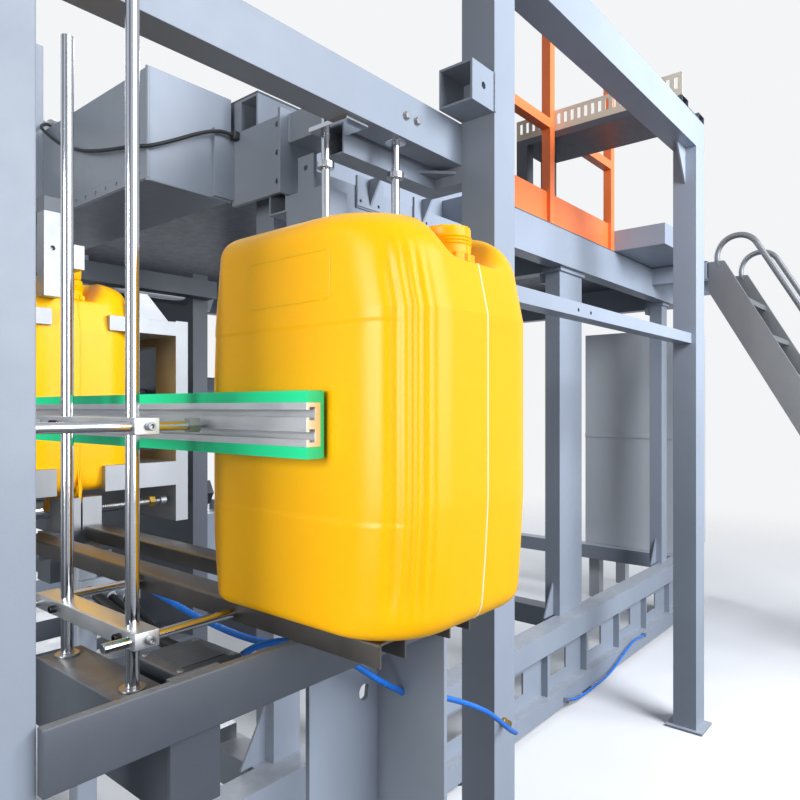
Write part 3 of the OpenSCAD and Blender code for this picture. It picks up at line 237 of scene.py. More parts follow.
# %% Chrome, aluminium and steel
def metal(name, colour, roughness, stretch, scratch=0.25, spread=0.12, stain=0.12):
    """Bare metal: noise stretched along the tool's way gives the marks, wide noise varies tone and gloss."""
    mat, shader, at = start(name, Metallic=1.0)
    lay = add(mat, "ShaderNodeMapping", Vector=(at, "Object"), Scale=stretch)
    marks = add(mat, "ShaderNodeTexNoise", Vector=(lay, "Vector"), Scale=1.0, Detail=4.0, Roughness=0.6)
    cloud = add(mat, "ShaderNodeTexNoise", Vector=(at, "Object"), Scale=14.0, Detail=6.0, Roughness=0.65)
    tone = two_tone(mat, cloud, colour, stain, stain / 2)
    link(mat, tone, "Result", shader, "Base Color")
    vary_gloss(mat, cloud, shader, roughness, roughness + spread)
    edge = add(mat, "ShaderNodeBevel", {"samples": 4}, Radius=0.0008)
    bump = add(mat, "ShaderNodeBump", Strength=scratch, Distance=0.0002,
               Height=(marks, "Fac"), Normal=(edge, "Normal"))
    link(mat, bump, "Normal", shader, "Normal")
    return mat


chrome = metal("Ground_hard_chrome", "#D6D7DA", 0.07, (60.0, 60.0, 2200.0), scratch=0.12, spread=0.06)
extruded = metal("Extruded_aluminium", "#E2E3E4", 0.36, (15.0, 900.0, 900.0), scratch=0.35)
milled = metal("Milled_aluminium", "#A2A4A6", 0.42, (700.0, 120.0, 60.0), scratch=0.3)
bright_steel = metal("Bright_rolled_steel", "#B4B6B8", 0.3, (200.0, 40.0, 700.0), scratch=0.25, stain=0.2)
dull_steel = metal("Dull_rolled_steel", "#77726D", 0.34, (200.0, 40.0, 700.0), scratch=0.25, stain=0.2)
brass = metal("Turned_brass", "#C9A24E", 0.25, (900.0, 90.0, 90.0))
black_steel = metal("Blackened_screw_steel", "#3C3E42", 0.32, (400.0, 400.0, 400.0))
print("metals:", [m.name for m in (chrome, extruded, milled, bright_steel, dull_steel, brass, black_steel)])

# %% [markdown]
# ## Plastics
# The can is blow moulded polyethylene: waxy, slightly translucent, so light enters and softens the
# shading, with the fine grain of a sandblasted mould. The wear strip is the same family, cut and
# matt. Hoses are polyurethane, smooth and glossy, and the cable jackets are rubber.

# %% Polyethylene, rubber and hose plastics
GLOW_REACH = (1.0, 0.55, 0.08)


def plastic(name, colour, roughness, grain_mm, grain=0.15, ior=1.5, glow=0.0, tone=0.05, shine=0.5):
    """Moulded plastic: grain is noise as wide as grain_mm, glow the share of light scattered below the skin,
    up to 10 mm deep and mostly red."""
    mat, shader, at = start(name, IOR=ior, Specular_IOR_Level=shine, Subsurface_Weight=glow,
                            Subsurface_Radius=GLOW_REACH, Subsurface_Scale=0.01)
    cloud = add(mat, "ShaderNodeTexNoise", Vector=(at, "Object"), Scale=9.0, Detail=4.0)
    mix = two_tone(mat, cloud, colour, tone, tone)
    link(mat, mix, "Result", shader, "Base Color")
    vary_gloss(mat, cloud, shader, roughness, roughness + 0.08)
    grains = add(mat, "ShaderNodeTexNoise", Vector=(at, "Object"), Scale=1000.0 / grain_mm, Detail=2.0)
    bump = add(mat, "ShaderNodeBump", Strength=grain, Distance=0.0002, Height=(grains, "Fac"))
    link(mat, bump, "Normal", shader, "Normal")
    return mat


can_plastic = plastic("Blow_moulded_polyethylene", "#FFB800", 0.3, 1.6, grain=0.08, glow=0.35, shine=0.32)
# A pale polyethylene: the glands' own colour, and on the product can's seam partly the whitened parting line,
# partly a painted highlight along the ridge.
whitened = plastic("Stress_whitened_polyethylene", "#F6E7B4", 0.5, 2.0, ior=1.54)
wear_green = plastic("Sawn_green_polyethylene", "#08D892", 0.42, 3.0, grain=0.3, ior=1.54, glow=0.1)
black_rubber = plastic("Black_cable_rubber", "#1B1D20", 0.5, 2.0, grain=0.2)
black_nylon = plastic("Black_moulded_nylon", "#202226", 0.4, 1.5, grain=0.3)
red_button = plastic("Red_moulded_plastic", "#B8201A", 0.3, 1.0)
blue_tube = plastic("Blue_polyurethane_tube", "#1C6FD0", 0.22, 4.0, grain=0.05, glow=0.1)
print("plastics:", [m.name for m in (can_plastic, wear_green, black_rubber, blue_tube)])

# %% [markdown]
# ## Finishes on the CAD solids
# Each solid already sits where it belongs, so it only needs its finish. The record names a slot
# for every node, and one table gives the material for each slot.

# %% Give every CAD node its finish
finish_of = {"grey_paint": grey_enamel, "dark_paint": dark_enamel_and_painted_shade, "light_paint": pale_coat,
             "orange_paint": orange_enamel, "cream_paint": cream_coat,
             "chrome": chrome, "aluminium": milled, "steel": bright_steel,
             "yellow_plastic": can_plastic, "green_plastic": wear_green, "black_plastic": black_nylon,
             "red_plastic": red_button, "blue_hose": blue_tube}
slot_of = {part["node"]: part["material_slot"] for part in record["subparts"]}
for name, solid in nodes.items():
    solid.data.materials.clear()
    solid.data.materials.append(finish_of[slot_of[name]])
nodes["guide_profile"].data.materials[0] = extruded
# The carriage frame takes the dark enamel in place of its slot's finish: painted shade for the deep shadow
# inside the machine.
nodes["carriage_frame"].data.materials[0] = dark_enamel_and_painted_shade
print("finished", len(nodes), "CAD nodes with", len(finish_of), "slots")

# %% [markdown]
# ## Hoses and cables
# Blue air lines and black oil hoses hang between fittings. A bevelled curve would do, but a swept
# grid keeps the ends flat against their fittings. Each route is the list of points that the solid
# follows, a smooth curve goes through them, and a circle is carried along it on a frame of two
# directions square to the curve. The black hoses are thicker, and hang lower one below the other.

# %% Routes in millimetres, from each exit to its far end
AIR_RUNS = [
    [[1010, 2300, 60], [1012, 2420, 34], [1012, 2600, 30], [1012, 2800, 40],
     [1012, 3000, 90], [1012, 3150, 120], [1010, 3300, 110]],
    [[1668, -79, 1096], [1671, -68, 1103], [1682, -50, 1111], [1700, -20, 1113], [1722, 8, 1103],
     [1742, 32, 1088], [1755, 60, 1072], [1762, 110, 1034], [1762, 161, 1001], [1756, 200, 978],
     [1752, 312, 934], [1742, 450, 860], [1715, 580, 770], [1650, 720, 690], [1590, 800, 650],
     [1545, 840, 640]],
    [[1122, 62, 1090], [1150, 62, 1088], [1230, 74, 1066], [1340, 92, 1040], [1460, 104, 1030],
     [1570, 118, 1040], [1650, 138, 1060], [1688, 144, 1066]]]
OIL_RUNS = [
    [[1122, -32, 1084], [1150, -31, 1081], [1220, -16, 1054], [1330, 6, 1024], [1440, 30, 1012],
     [1550, 54, 1020], [1640, 76, 1042], [1688, 82, 1048]],
    [[1122, 0, 1074], [1150, 1, 1070], [1230, 12, 1034], [1330, 34, 996], [1440, 58, 980],
     [1550, 82, 992], [1640, 104, 1030], [1688, 112, 1044]],
    [[1122, 32, 1066], [1150, 33, 1062], [1230, 44, 1014], [1330, 66, 968], [1440, 90, 948],
     [1560, 116, 968], [1645, 134, 1022], [1688, 142, 1040]]]
HEATER_CABLE = [
    [130, 330, 2340], [180, 310, 2345], [222, 260, 2352], [254, 226, 2322], [391, 222, 2238],
    [520, 222, 2186], [646, 223, 2154], [782, 225, 2130], [846, 228, 2118], [866, 246, 2120],
    [874, 300, 2146], [876, 384, 2192], [876, 445, 2216], [876, 486, 2218]]
print("routes:", len(AIR_RUNS), "air lines,", len(OIL_RUNS), "oil hoses and the cable")

# %% Sweep a circle along a smooth curve
def smooth_line(route, steps=4):
    """Curve through the points: between two of them a cubic whose slope at each point is half the way
    between its neighbours."""
    p = np.array(route, float)
    q = np.concatenate([p[:1], p, p[-1:]])
    f = np.linspace(0, 1, steps, endpoint=False)[None, :, None]
    a, b, c, d = (q[i:i + len(p) - 1][:, None] for i in range(4))
    bend = 2 * a - 5 * b + 4 * c - d
    span = 0.5 * (2 * b + (c - a) * f + bend * f**2 + (3 * b - a - 3 * c + d) * f**3)
    return np.concatenate([span.reshape(-1, 3), p[-1:]])


def sweep(line, radius, around=16):
    """Grid of a circle carried along a line: each ring is the point plus radius times (side cos + up sin).
    The radius is one value or one for each point."""
    along = np.gradient(line, axis=0)
    along /= np.linalg.norm(along, axis=1, keepdims=True)
    side = np.cross(along, [0.03, 0.02, 1.0])
    side /= np.linalg.norm(side, axis=1, keepdims=True)
    up = np.cross(side, along)
    a = np.linspace(0, 2 * math.pi, around, endpoint=False)[None, :, None]
    r = np.broadcast_to(radius, len(line))[:, None, None]
    return line[:, None] + r * (side[:, None] * np.cos(a) + up[:, None] * np.sin(a))


def hose(name, route, radius, material, node):
    """A free hose: its swept skin rides on the frame, and the CAD node that it stands for is hidden."""
    line = smooth_line(route)
    tube = piece(name, grid_mesh(name, sweep(line, radius)), material, "frame", smooth=60)
    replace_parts(tube, node)


for i, run in enumerate(AIR_RUNS):
    hose(f"air_line_{i + 1}", run, 5 if i == 1 else 6, blue_tube, "air_hoses")
for i, run in enumerate(OIL_RUNS):
    hose(f"oil_hose_{i + 1}", run, 9, black_rubber, "black_cable")
hose("heater_cable", HEATER_CABLE, 5, black_rubber, "black_cable")

# %% [markdown]
# ## The jerry can
# A blown can has no sharp edge: the parison is pressed against the mould by air, so every corner is
# round and every wall a little full. It could be a box with bevels, but its two ends differ: the
# tail has tight corners, the neck end wide ones, a high round shoulder and a scoop. So it is
# lofted from rounded rectangles whose size follows the height, and then pressed: flutes beside
# the neck, a flat panel on each side, and the scoop pushed down into the top.

# %% Outline and section of the can
CAN = {"half_x": 170.0, "nose_x": 180.0, "half_y": 142.0, "high": 464.0, "neck_x": 122.0,
       "tail_r": 30.0, "nose_r": 80.0, "shoulder_r": 70.0, "shoulder_back": 81.0}


def arc(cx, cy, r, first, last, n=9):
    """Points of an arc: centre plus r times (cos, sin) of n angles from first to last, in degrees."""
    a = np.radians(np.linspace(first, last, n))
    return np.stack([cx + r * np.cos(a), cy + r * np.sin(a)], 1)


def can_limits(z):
    """Least x, greatest x and half width of the can at height z, interpolated on the outline's arcs."""
    l, n, h, w, r = (CAN[key] for key in ("half_x", "nose_x", "high", "half_y", "shoulder_r"))
    straight = [[2 - l, 80], [-l, 150], [-l, h - 190], [3.5 - l, h - 118], [9 - l, h - 76]]
    tail = np.concatenate([arc(24 - l, 14, 14, 270, 188), straight, arc(34 - l, h - 18, 18, 168, 90, 15)])
    straight = [[n - 4, 72], [n, 140], [n, h - 114]]
    shoulder = arc(n - CAN["shoulder_back"], h - r, r, 11, 90, 17)
    nose = np.concatenate([arc(n - 36, 28, 28, -90, -8), straight, shoulder])
    side = np.concatenate([arc(w - 12, 12, 12, -90, 0), arc(w - 30, h - 30, 30, 0, 90, 17)])
    return [np.interp(z, edge[:, 1], edge[:, 0]) for edge in (tail, nose, side)]


def ring(counts):
    """Parameters of a rounded rectangle: for each point the normal's angle a and the place (wx, wy) of its
    corner's centre in -1..1. The counts are the points of each corner and of the side after it, in turn."""
    corners = [(1, -1, -90), (1, 1, 0), (-1, 1, 90), (-1, -1, 180)]
    a, wx, wy = [], [], []
    for i, (sx, sy, first) in enumerate(corners):
        n, m = counts[2 * i], counts[2 * i + 1]
        nx, ny, _ = corners[(i + 1) % 4]
        t = np.arange(m) / m
        a += [first + 90 * (np.arange(n) / n), np.full(m, first + 90.0)]
        wx += [np.full(n, sx), sx + (nx - sx) * t]
        wy += [np.full(n, sy), sy + (ny - sy) * t]
    return np.radians(np.concatenate(a)), np.concatenate(wx), np.concatenate(wy)


def scooped(x, y, z):
    """Heights after the scoop: the top over the nose half sinks to a floor round the neck, and the skin
    below it follows within 110 mm."""
    h, r = CAN["high"], CAN["shoulder_r"]
    over = np.clip(x - (CAN["nose_x"] - CAN["shoulder_back"]), 0, r - 1)
    top = h - r + np.sqrt(r**2 - over**2)
    floor = h - 50 - 0.08 * np.clip(x - CAN["neck_x"], 0, None)
    deep = np.clip(top - floor, 0, None) * (1 - ease(28, 75, np.abs(y))) * ease(66, 96, x)
    return z - deep * ease(top - 110, top, z)


print("can at half height:", [round(float(v), 1) for v in can_limits(CAN["high"] / 2)])

# %% Loft and press the can's body
FOOT_R, CROWN = 14, 62
PANEL_LOW, PANEL_HIGH = (120, 126), (333, 339)
FLUTES = [(37, 5.6, 4.6), (50, 3.2, 3.4), (59, 2.8, 2.8), (67, 2.6, 1.6)]


def can_levels(fine):
    """Heights of the rings and how far each shrinks to the middle: out under the foot, up the wall with more
    rings at the panel's steps, round the crown and in over the top."""
    h, quarter = CAN["high"], math.pi / 2
    foot = FOOT_R * (1 - np.cos(np.linspace(0, quarter, 10)))
    spans = [(FOOT_R, 112, 6), (112, 130, 6), (130, 328, 8), (328, 358, 8), (358, h - CROWN, 4)]
    wall = np.concatenate([np.linspace(low, high, n * fine)[1:] for low, high, n in spans])
    crown = h - CROWN + CROWN * np.sin(np.linspace(0, quarter, 12 * fine))[1:]
    shrink = np.linspace(0.0, 0.97, 10 * fine)[1:]
    under = shrink[::-1][::len(shrink) // 9][:9]
    z = np.concatenate([np.zeros(9), foot, wall, crown, np.full(len(shrink), h)])
    whole = np.ones(len(foot) + len(wall) + len(crown))
    return z, np.concatenate([1 - under, whole, 1 - shrink])[:, None]


def can_body(counts, fine):
    """Grid (levels, ring, 3) of the can: rounded rectangles at rising heights, pushed in along the normal by
    the flutes and the panel, and down by the scoop."""
    a, wx, wy = ring(counts)
    z, k = can_levels(fine)
    lo, hi, half = (v[:, None] for v in can_limits(z))
    mid, side = (lo + hi) / 2, (wx + 1) / 2
    r = CAN["tail_r"] + (CAN["nose_r"] - CAN["tail_r"]) * side
    r = np.minimum(r, half - 1)
    x = (lo + r) * (1 - side) + (hi - r) * side + r * np.cos(a)
    y = wy * (half - r) + r * np.sin(a)
    x, y = mid + (x - mid) * k, y * k
    z = np.repeat(z[:, None], len(a), 1)
    on_wall = (k == 1) * 1.0
    # Flutes: grooves round the nose's corners, each an angle from the flank, a width and a depth
    from_flank = 90 - np.abs(np.degrees(a))
    flute = sum(deep * np.exp(-((from_flank - at) / wide) ** 2) for at, wide, deep in FLUTES)
    flute = flute * (side == 1) * (np.cos(a) > -0.01) * ease(14, 60, z) * (1 - ease(372, 442, z)) * on_wall
    # Panel: both flanks are pressed flat between the two step lines
    panel = 1.1 * ease(*PANEL_LOW, z) * (1 - ease(*PANEL_HIGH, z))
    panel = panel * ease(0.55, 0.98, np.abs(np.sin(a))) * on_wall
    push = flute + panel
    x, y = x - push * np.cos(a), y - push * np.sin(a)
    return np.stack([x, y, scooped(x, y, z)], -1)


body = can_body((56, 76, 56, 64, 14, 34, 14, 64), 4)
skin = body.reshape(-1, 3)
print("can body grid", body.shape, "low", skin.min(0).round(1), "high", skin.max(0).round(1))

# %% [markdown]
# The neck is blown with the body but calibrated by the blow pin, so it is crisp: a thread of
# three turns, a smooth band and a ring of ratchet teeth for the seal of the cap. One function gives the
# radius for each angle and height, and the thread is a bump whose height rises with the angle.

# %% Neck with its thread and ratchet ring
PITCH, LIP = 4.0, 457.0


def neck_grid():
    """Grid of the neck: radius 28.7 plus a thread of 4 mm pitch, teeth every 30 degrees and a torn lip. The
    inner wall comes down again at radius 25.5."""
    t = np.linspace(0, 2 * math.pi, 180, endpoint=False)
    spans = ((388, 412, 4), (413, 427, 18), (427.5, 448, 50), (449, LIP, 8))
    tt, zz = np.meshgrid(t, np.concatenate([np.linspace(*span) for span in spans]))
    turn = (zz - 441 - PITCH * tt / (2 * math.pi)) / PITCH
    thread = 1.5 * np.exp(-((turn - np.round(turn)) * PITCH) ** 2)
    thread = thread * ease(433.5, 436, zz) * (1 - ease(445.5, 447.5, zz))
    shape = ease(-0.35, 0.1, np.cos(12 * tt)) * (1 - 0.5 * ease(0.55, 0.95, np.sin(12 * tt)))
    teeth = 4.6 * ease(414, 415.2, zz) * (1 - ease(424.5, 426, zz)) * (0.35 + 0.65 * shape)
    parting = 1.2 * np.exp(-(np.sin(tt) / 0.03) ** 2) * ease(427, 429, zz) * (1 + 1.2 * ease(446, LIP, zz))
    torn = 0.7 * np.sin(7 * tt) * np.sin(19 * tt + 1) * ease(452, LIP, zz)
    r = 28.7 + thread + teeth + parting - 0.8 * ease(455, LIP, zz)
    outer = np.stack([CAN["neck_x"] + r * np.cos(tt), r * np.sin(tt), zz + torn], -1)
    inner = [np.stack([CAN["neck_x"] + q * np.cos(t), q * np.sin(t), LIP + dz + torn[-1] * w], -1)
             for q, dz, w in ((26.6, 0.2, 1), (25.6, -0.7, 1), (25.4, -12, 0), (25.2, -40, 0))]
    return np.concatenate([outer, np.stack(inner)])


def frame_bead():
    """Grid of the bare raised frame on the flank: a low half-round bead carried round a rectangle with 6 mm
    corners."""
    a, wx, wy = ring((8, 4, 8, 4, 8, 4, 8, 4))
    cx, cz, hx, hz, r = -4.0, 391.0, 70.0, 27.5, 6
    px, pz = cx + wx * (hx - r) + r * np.cos(a), cz + wy * (hz - r) + r * np.sin(a)
    b = np.linspace(0, math.pi, 7)
    out, up = 1.3 * np.cos(b), 0.9 * np.sin(b) - 0.35
    x, z = px[:, None] + out * np.cos(a)[:, None], pz[:, None] + out * np.sin(a)[:, None]
    return np.stack([x, np.repeat(-up[None], len(a), 0), z], -1)


def seam(first, last, wide=1.5, proud=1.1):
    """Grid of the parting seam on the nose: a low ridge that follows the greatest x of the can from one
    height to another."""
    z = np.linspace(first, last, 90)
    x = can_limits(z)[1]
    z = scooped(x, 0.0, z)
    slope = np.gradient(x, z)
    nx, nz = 1 / np.hypot(1, slope), -slope / np.hypot(1, slope)
    b = np.linspace(0, math.pi, 6)
    out, y = (proud + 0.4) * np.sin(b) - 0.4, wide * np.cos(b)
    x, z = x[:, None] + out * nx[:, None], z[:, None] + out * nz[:, None]
    return np.stack([x, np.repeat(y[None], len(x), 0), z], -1)


neck = neck_grid()
print("neck grid", neck.shape)

# %% Place both cans
SLIDE_DROP = 8.0
product_at, held_at = (1852.0, 0.0, 1207.0), (832.0, 0.0, 1270.0)


def place(grid, at):
    """The same grid moved by a whole-can offset in millimetres. On the slide the lower 200 mm also stretch
    down by the slide's drop."""
    grid = grid + np.array(at, float)
    if at == product_at:
        grid[..., 2] -= SLIDE_DROP * (1 - np.clip((grid[..., 2] - at[2]) / 200, 0, 1))
    return grid


def blown(name, grid, at, carrier, material=can_plastic, smooth=0, **closed):
    """A blown piece of a can: its grid at the can's place, in the can's plastic unless another material is
    given, riding on a body.
    """
    mesh = grid_mesh(name, place(grid, at), **closed)
    return piece(name, mesh, material, carrier, smooth)


coarse = can_body((30, 40, 30, 36, 8, 20, 8, 36), 2)
# The product can's seam ridge is pale: partly the whitened parting line, partly a painted highlight along the
# ridge.
for label, grid, at, carrier, ridge in (("product", body, product_at, "frame", whitened),
                                        ("held", coarse, held_at, "clamp_carriage", can_plastic)):
    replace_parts(blown(label + "_can_body", grid, at, carrier), label + "_can")
    blown(label + "_can_neck", neck, at, carrier, smooth=50)
    flank = (at[0], -CAN["half_y"], at[2])
    blown(label + "_can_frame", frame_bead(), flank, carrier, around=False, caps=False, along=True)
    blown(label + "_can_seam", seam(6, 424), at, carrier, ridge, around=False, caps=False)
print("cans at", product_at, held_at)

# %% [markdown]
# The held can has just left the mould, so it still carries its waste: a sheet pinched off under the
# foot, and a blown dome over the neck. The sheet lies between two curves, and the dome is a profile
# carried round the neck with a slow ripple.

# %% Waste of the held can
def flash(outer, inner, thick, ripple):
    """Grid of a pinched sheet: rows run from the inner to the outer edge curve in X and Z. Its two skins are
    thick apart in Y, swell along the pinched edge and ripple as the cold sheet shrinks."""
    v = np.linspace(0, 1, 12)[:, None]
    x, z = (inner[None, :, i] * (1 - v) + outer[None, :, i] * v for i in (0, 1))
    wave = ripple * np.sin(x * 0.21 + 1) * np.sin(z * 0.17) * ease(0, 0.5, v)
    half = thick / 2 * (0.7 + 0.9 * ease(0.6, 0.85, v) * (1 - ease(0.9, 1.0, v)))
    front, back = np.stack([x, wave - half, z], -1), np.stack([x, wave + half, z], -1)
    return np.concatenate([front, back[:, ::-1]], 1)


def dome():
    """Grid of the waste over the neck: a profile of radius and height, 3 % out of round and flat in Y."""
    profile = [(26, 0), (28.5, 3), (30, 10), (30.5, 24), (30, 38), (27.5, 50), (22.5, 60), (15, 67),
               (6, 70.5), (1, 71)]
    r, h = np.array(profile, float).T[:, :, None]
    t = np.linspace(0, 2 * math.pi, 60, endpoint=False)[None]
    r = r * (1 + 0.03 * np.sin(3 * t + 1) * np.sin(h * 0.09))
    return np.stack([CAN["neck_x"] + r * np.cos(t), 0.86 * r * np.sin(t), LIP + h + 0 * t], -1)


u = np.linspace(0, 1, 60)
pinch, tear = [0, 0.62, 0.8, 1], [0, 0.55, 0.78, 1]
foot_line = np.stack([np.interp(u, pinch, [2, 128, 158, 167]), np.interp(u, pinch, [0, 1, 14, 62])], 1)
torn_line = np.stack([np.interp(u, tear, [0, 150, 186, 173]), np.interp(u, tear, [-60, -58, -20, 63])], 1)
torn_line += 1.6 * np.stack([np.sin(40 * u), np.sin(53 * u + 2)], 1) * np.sin(math.pi * u)[:, None]
tail_flash = blown("held_can_tail_flash", flash(torn_line, foot_line, 3.4, 1.6), held_at, "clamp_carriage")
neck_flash = blown("held_can_neck_flash", dome(), held_at, "clamp_carriage")
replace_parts(tail_flash, "held_can")
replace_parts(neck_flash, "held_can")
print("waste:", tail_flash.name, neck_flash.name)

# %% [markdown]
# ## Blocks and turned parts
# What holds the hoses and plates is small, but its round edges and turns catch the light. A block
# with round edges is a rounded rectangle that shrinks by a quarter circle at both ends. A turned
# part is a profile of radius and height carried round an axis, with six sides where it is a nut.

# %% Blocks with round edges
def soft_block(name, low, high, r, material, body, slot):
    """Block between two corners with edges of radius r: rows climb a quarter circle, the full height, and a
    quarter circle again."""
    low, high = np.array(low, float), np.array(high, float)
    mid, half = (low + high) / 2, (high - low) / 2
    a, wx, wy = ring((5, 1, 5, 1, 5, 1, 5, 1))
    q = np.linspace(0, math.pi / 2, 5)
    inset = np.concatenate([r * (1 - np.sin(q)), r * (1 - np.cos(q))])
    z = np.concatenate([low[2] + r * (1 - np.cos(q)), high[2] - r * (1 - np.sin(q))])
    reach = half - r
    x = mid[0] + wx * reach[0] + (r - inset)[:, None] * np.cos(a)
    y = mid[1] + wy * reach[1] + (r - inset)[:, None] * np.sin(a)
    grid = np.stack([x, y, np.repeat(z[:, None], len(a), 1)], -1)
    return piece(name, grid_mesh(name, grid), material, body, smooth=50)


# %% Turned parts and screws
def turned(name, at, axis, profile, material, body, slot, sides=28, smooth=40):
    """Profile of (radius, height) pairs carried round an axis through a point: the point plus height along
    the axis plus radius times (side cos + up sin)."""
    axis = np.array(axis, float)
    side = np.cross(axis, [0.0, 0.0, 1.0] if abs(axis[2]) < 0.9 else [1.0, 0.0, 0.0])
    side /= np.linalg.norm(side)
    up = np.cross(axis, side)
    r, h = np.array(profile, float).T[:, :, None, None]
    a = np.linspace(0, 2 * math.pi, sides, endpoint=False)[None, :, None]
    grid = np.array(at, float) + h * axis + r * (side * np.cos(a) + up * np.sin(a))
    return piece(name, grid_mesh(name, grid), material, body, smooth=smooth)


def bolt(name, at, axis, size):
    """Washer and chamfered hexagon head of a bolt of that thread size: the head is 1.6 sizes across its
    flats and 0.66 high."""
    thick = 0.18 * size
    washer = [(size, 0), (1.1 * size, 0), (1.1 * size, thick), (0.4 * size, thick)]
    turned(name + "_washer", at, axis, washer, bright_steel, "frame", "steel")
    top = 0.84 * size
    head = [(0.9 * size, thick), (0.92 * size, 0.75 * size), (0.78 * size, top), (0.1 * size, top)]
    turned(name, at, axis, head, bright_steel, "frame", "steel", sides=6, smooth=20)


print("helpers for small parts:", [f.__name__ for f in (soft_block, turned, bolt)])

# %% [markdown]
# ## The slide's rails and legs
# The finished can slides on two folded rails. A plate on edge carries their far end, welded to an
# angle that stands on the floor, and a bar on a post carries the near end. The rails are swept from
# the outline of a folded channel, and the bored web is four rings: outline, bore, bore, outline.

# %% Shapes of the rails and of the web
def channel(name, x, y, z, wall=3.0, r=4.0):
    """Folded channel along X, open below: the outline goes up, round both top edges and down, and comes back
    inside by the wall. Quads between the outer and the inner outline close its ends."""
    near, far, lift = y[0] + r, y[1] - r, z[1] - r
    outside = [[(y[0], z[0])], arc(near, lift, r, 180, 90, 6), arc(far, lift, r, 90, 0, 6), [(y[1], z[0])]]
    inside = [arc(far, lift, r - wall, 0, 90, 6), arc(near, lift, r - wall, 90, 180, 6)]
    line = np.concatenate([*outside, [(y[1] - wall, z[0])], *inside, [(y[0] + wall, z[0])]])
    n = len(line)
    grid = np.stack([np.column_stack([np.full(n, at), line]) for at in x])
    here, k = np.arange(n), np.arange(n // 2 - 1)
    after = np.roll(here, -1)
    end = np.stack([k, k + 1, n - 2 - k, n - 1 - k], 1)
    faces = np.concatenate([np.stack([here, after, after + n, here + n], 1), end, end[:, ::-1] + n])
    mesh = bpy.data.meshes.new(name)
    mesh.from_pydata((grid.reshape(-1, 3) * 0.001).tolist(), [], faces.tolist())
    mesh.update()
    return piece(name, mesh, dull_steel, "frame", smooth=30)


def bored_plate(name, x, y, z, bore, r, material, slot):
    """Plate across X with a bore: its outline's points and the circle's are matched by their angle from the
    bore's centre."""
    t = np.linspace(0, 1, 12, endpoint=False)[:, None]
    corners = np.array([(y[0], z[0]), (y[1], z[0]), (y[1], z[1]), (y[0], z[1])], float)
    outline = np.concatenate([corners[i] * (1 - t) + corners[(i + 1) % 4] * t for i in range(4)])
    way = np.arctan2(outline[:, 1] - bore[1], outline[:, 0] - bore[0])
    circle = np.array(bore) + r * np.stack([np.cos(way), np.sin(way)], 1)
    rings = ((x[0], outline), (x[0], circle), (x[1], circle), (x[1], outline))
    rows = [np.column_stack([np.full(len(line), at), line]) for at, line in rings]
    mesh = grid_mesh(name, np.stack(rows), caps=False, along=True)
    return piece(name, mesh, material, "frame", smooth=30)


print("helpers for the slide:", [f.__name__ for f in (channel, bored_plate)])

# %% Rails, cross plate and legs of the slide
CROSS_TOP, FOOT_TOP = 1172, 1118
rail_z = (CROSS_TOP, 1207 - SLIDE_DROP)
for label, y in (("near", (-124, -79)), ("far", (2, 47))):
    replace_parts(channel(f"slide_rail_{label}", (1030, 1976), y, rail_z), "slide_rails")
slide_blocks = [
    ("cross_plate", (1832, -411, CROSS_TOP - 60), (1844, 172, CROSS_TOP), 1.0, dark_enamel_and_painted_shade, "dark_paint"),
    ("lead_bar", (1070, -124, CROSS_TOP - 12), (1110, 47, CROSS_TOP), 1.5, dark_enamel_and_painted_shade, "dark_paint"),
    ("leg_flange", (1708, 172, 10), (1844, 180, CROSS_TOP), 1.0, grey_enamel, "grey_paint"),
    ("leg_foot", (1680, 0, 0), (1864, 200, 10), 1.5, grey_enamel, "grey_paint"),
    ("lead_post", (1070, -50, 10), (1110, -10, CROSS_TOP - 12), 4.0, grey_enamel, "grey_paint"),
    ("lead_foot", (1050, -70, 0), (1130, 10, 10), 1.5, grey_enamel, "grey_paint"),
    ("hose_block_near", (1110, -50, 1048), (1122, 76, 1108), 2.0, grey_enamel, "grey_paint"),
    ("hose_block_far", (1688, 64, 1028), (1700, 158, 1084), 2.0, grey_enamel, "grey_paint"),
    ("hose_block_side", (1708, 50, 1058), (1734, 74, 1082), 2.0, grey_enamel, "grey_paint"),
    ("rod_tube", (1503, -283, 1028), (1824, -222, FOOT_TOP), 1.6, dark_enamel_and_painted_shade, "dark_paint"),
    ("rod_plate", (1824, -283, 1028), (1832, -222, CROSS_TOP), 1.0, dark_enamel_and_painted_shade, "dark_paint")]
made = {name: soft_block(name, low, high, r, paint, "frame", paint_slot)
        for name, low, high, r, paint, paint_slot in slide_blocks}
web = bored_plate("leg_web", (1700, 1708), (20, 180), (10, CROSS_TOP - 60), (140.0, 990.0), 13,
                  grey_enamel, "grey_paint")
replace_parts(made["cross_plate"], "slide_cross_beam")
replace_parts(made["lead_bar"], "slide_cross_beam")
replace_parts(web, "slide_cross_beam")
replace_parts(made["rod_tube"], "rod_foot")
print("slide made of", len(made) + 3, "pieces, rails at", rail_z)

# %% [markdown]
# ## Clamp bars and collars
# Two bars are clamped on the upright rods, and each carries two adjusting rods. The upper pair
# pushes the guide profile and the lower pair steadies the rail. The CAD solids have them too, but the
# photograph shows the lower ones a little lower, the collars flatter and the couplings hexagonal.

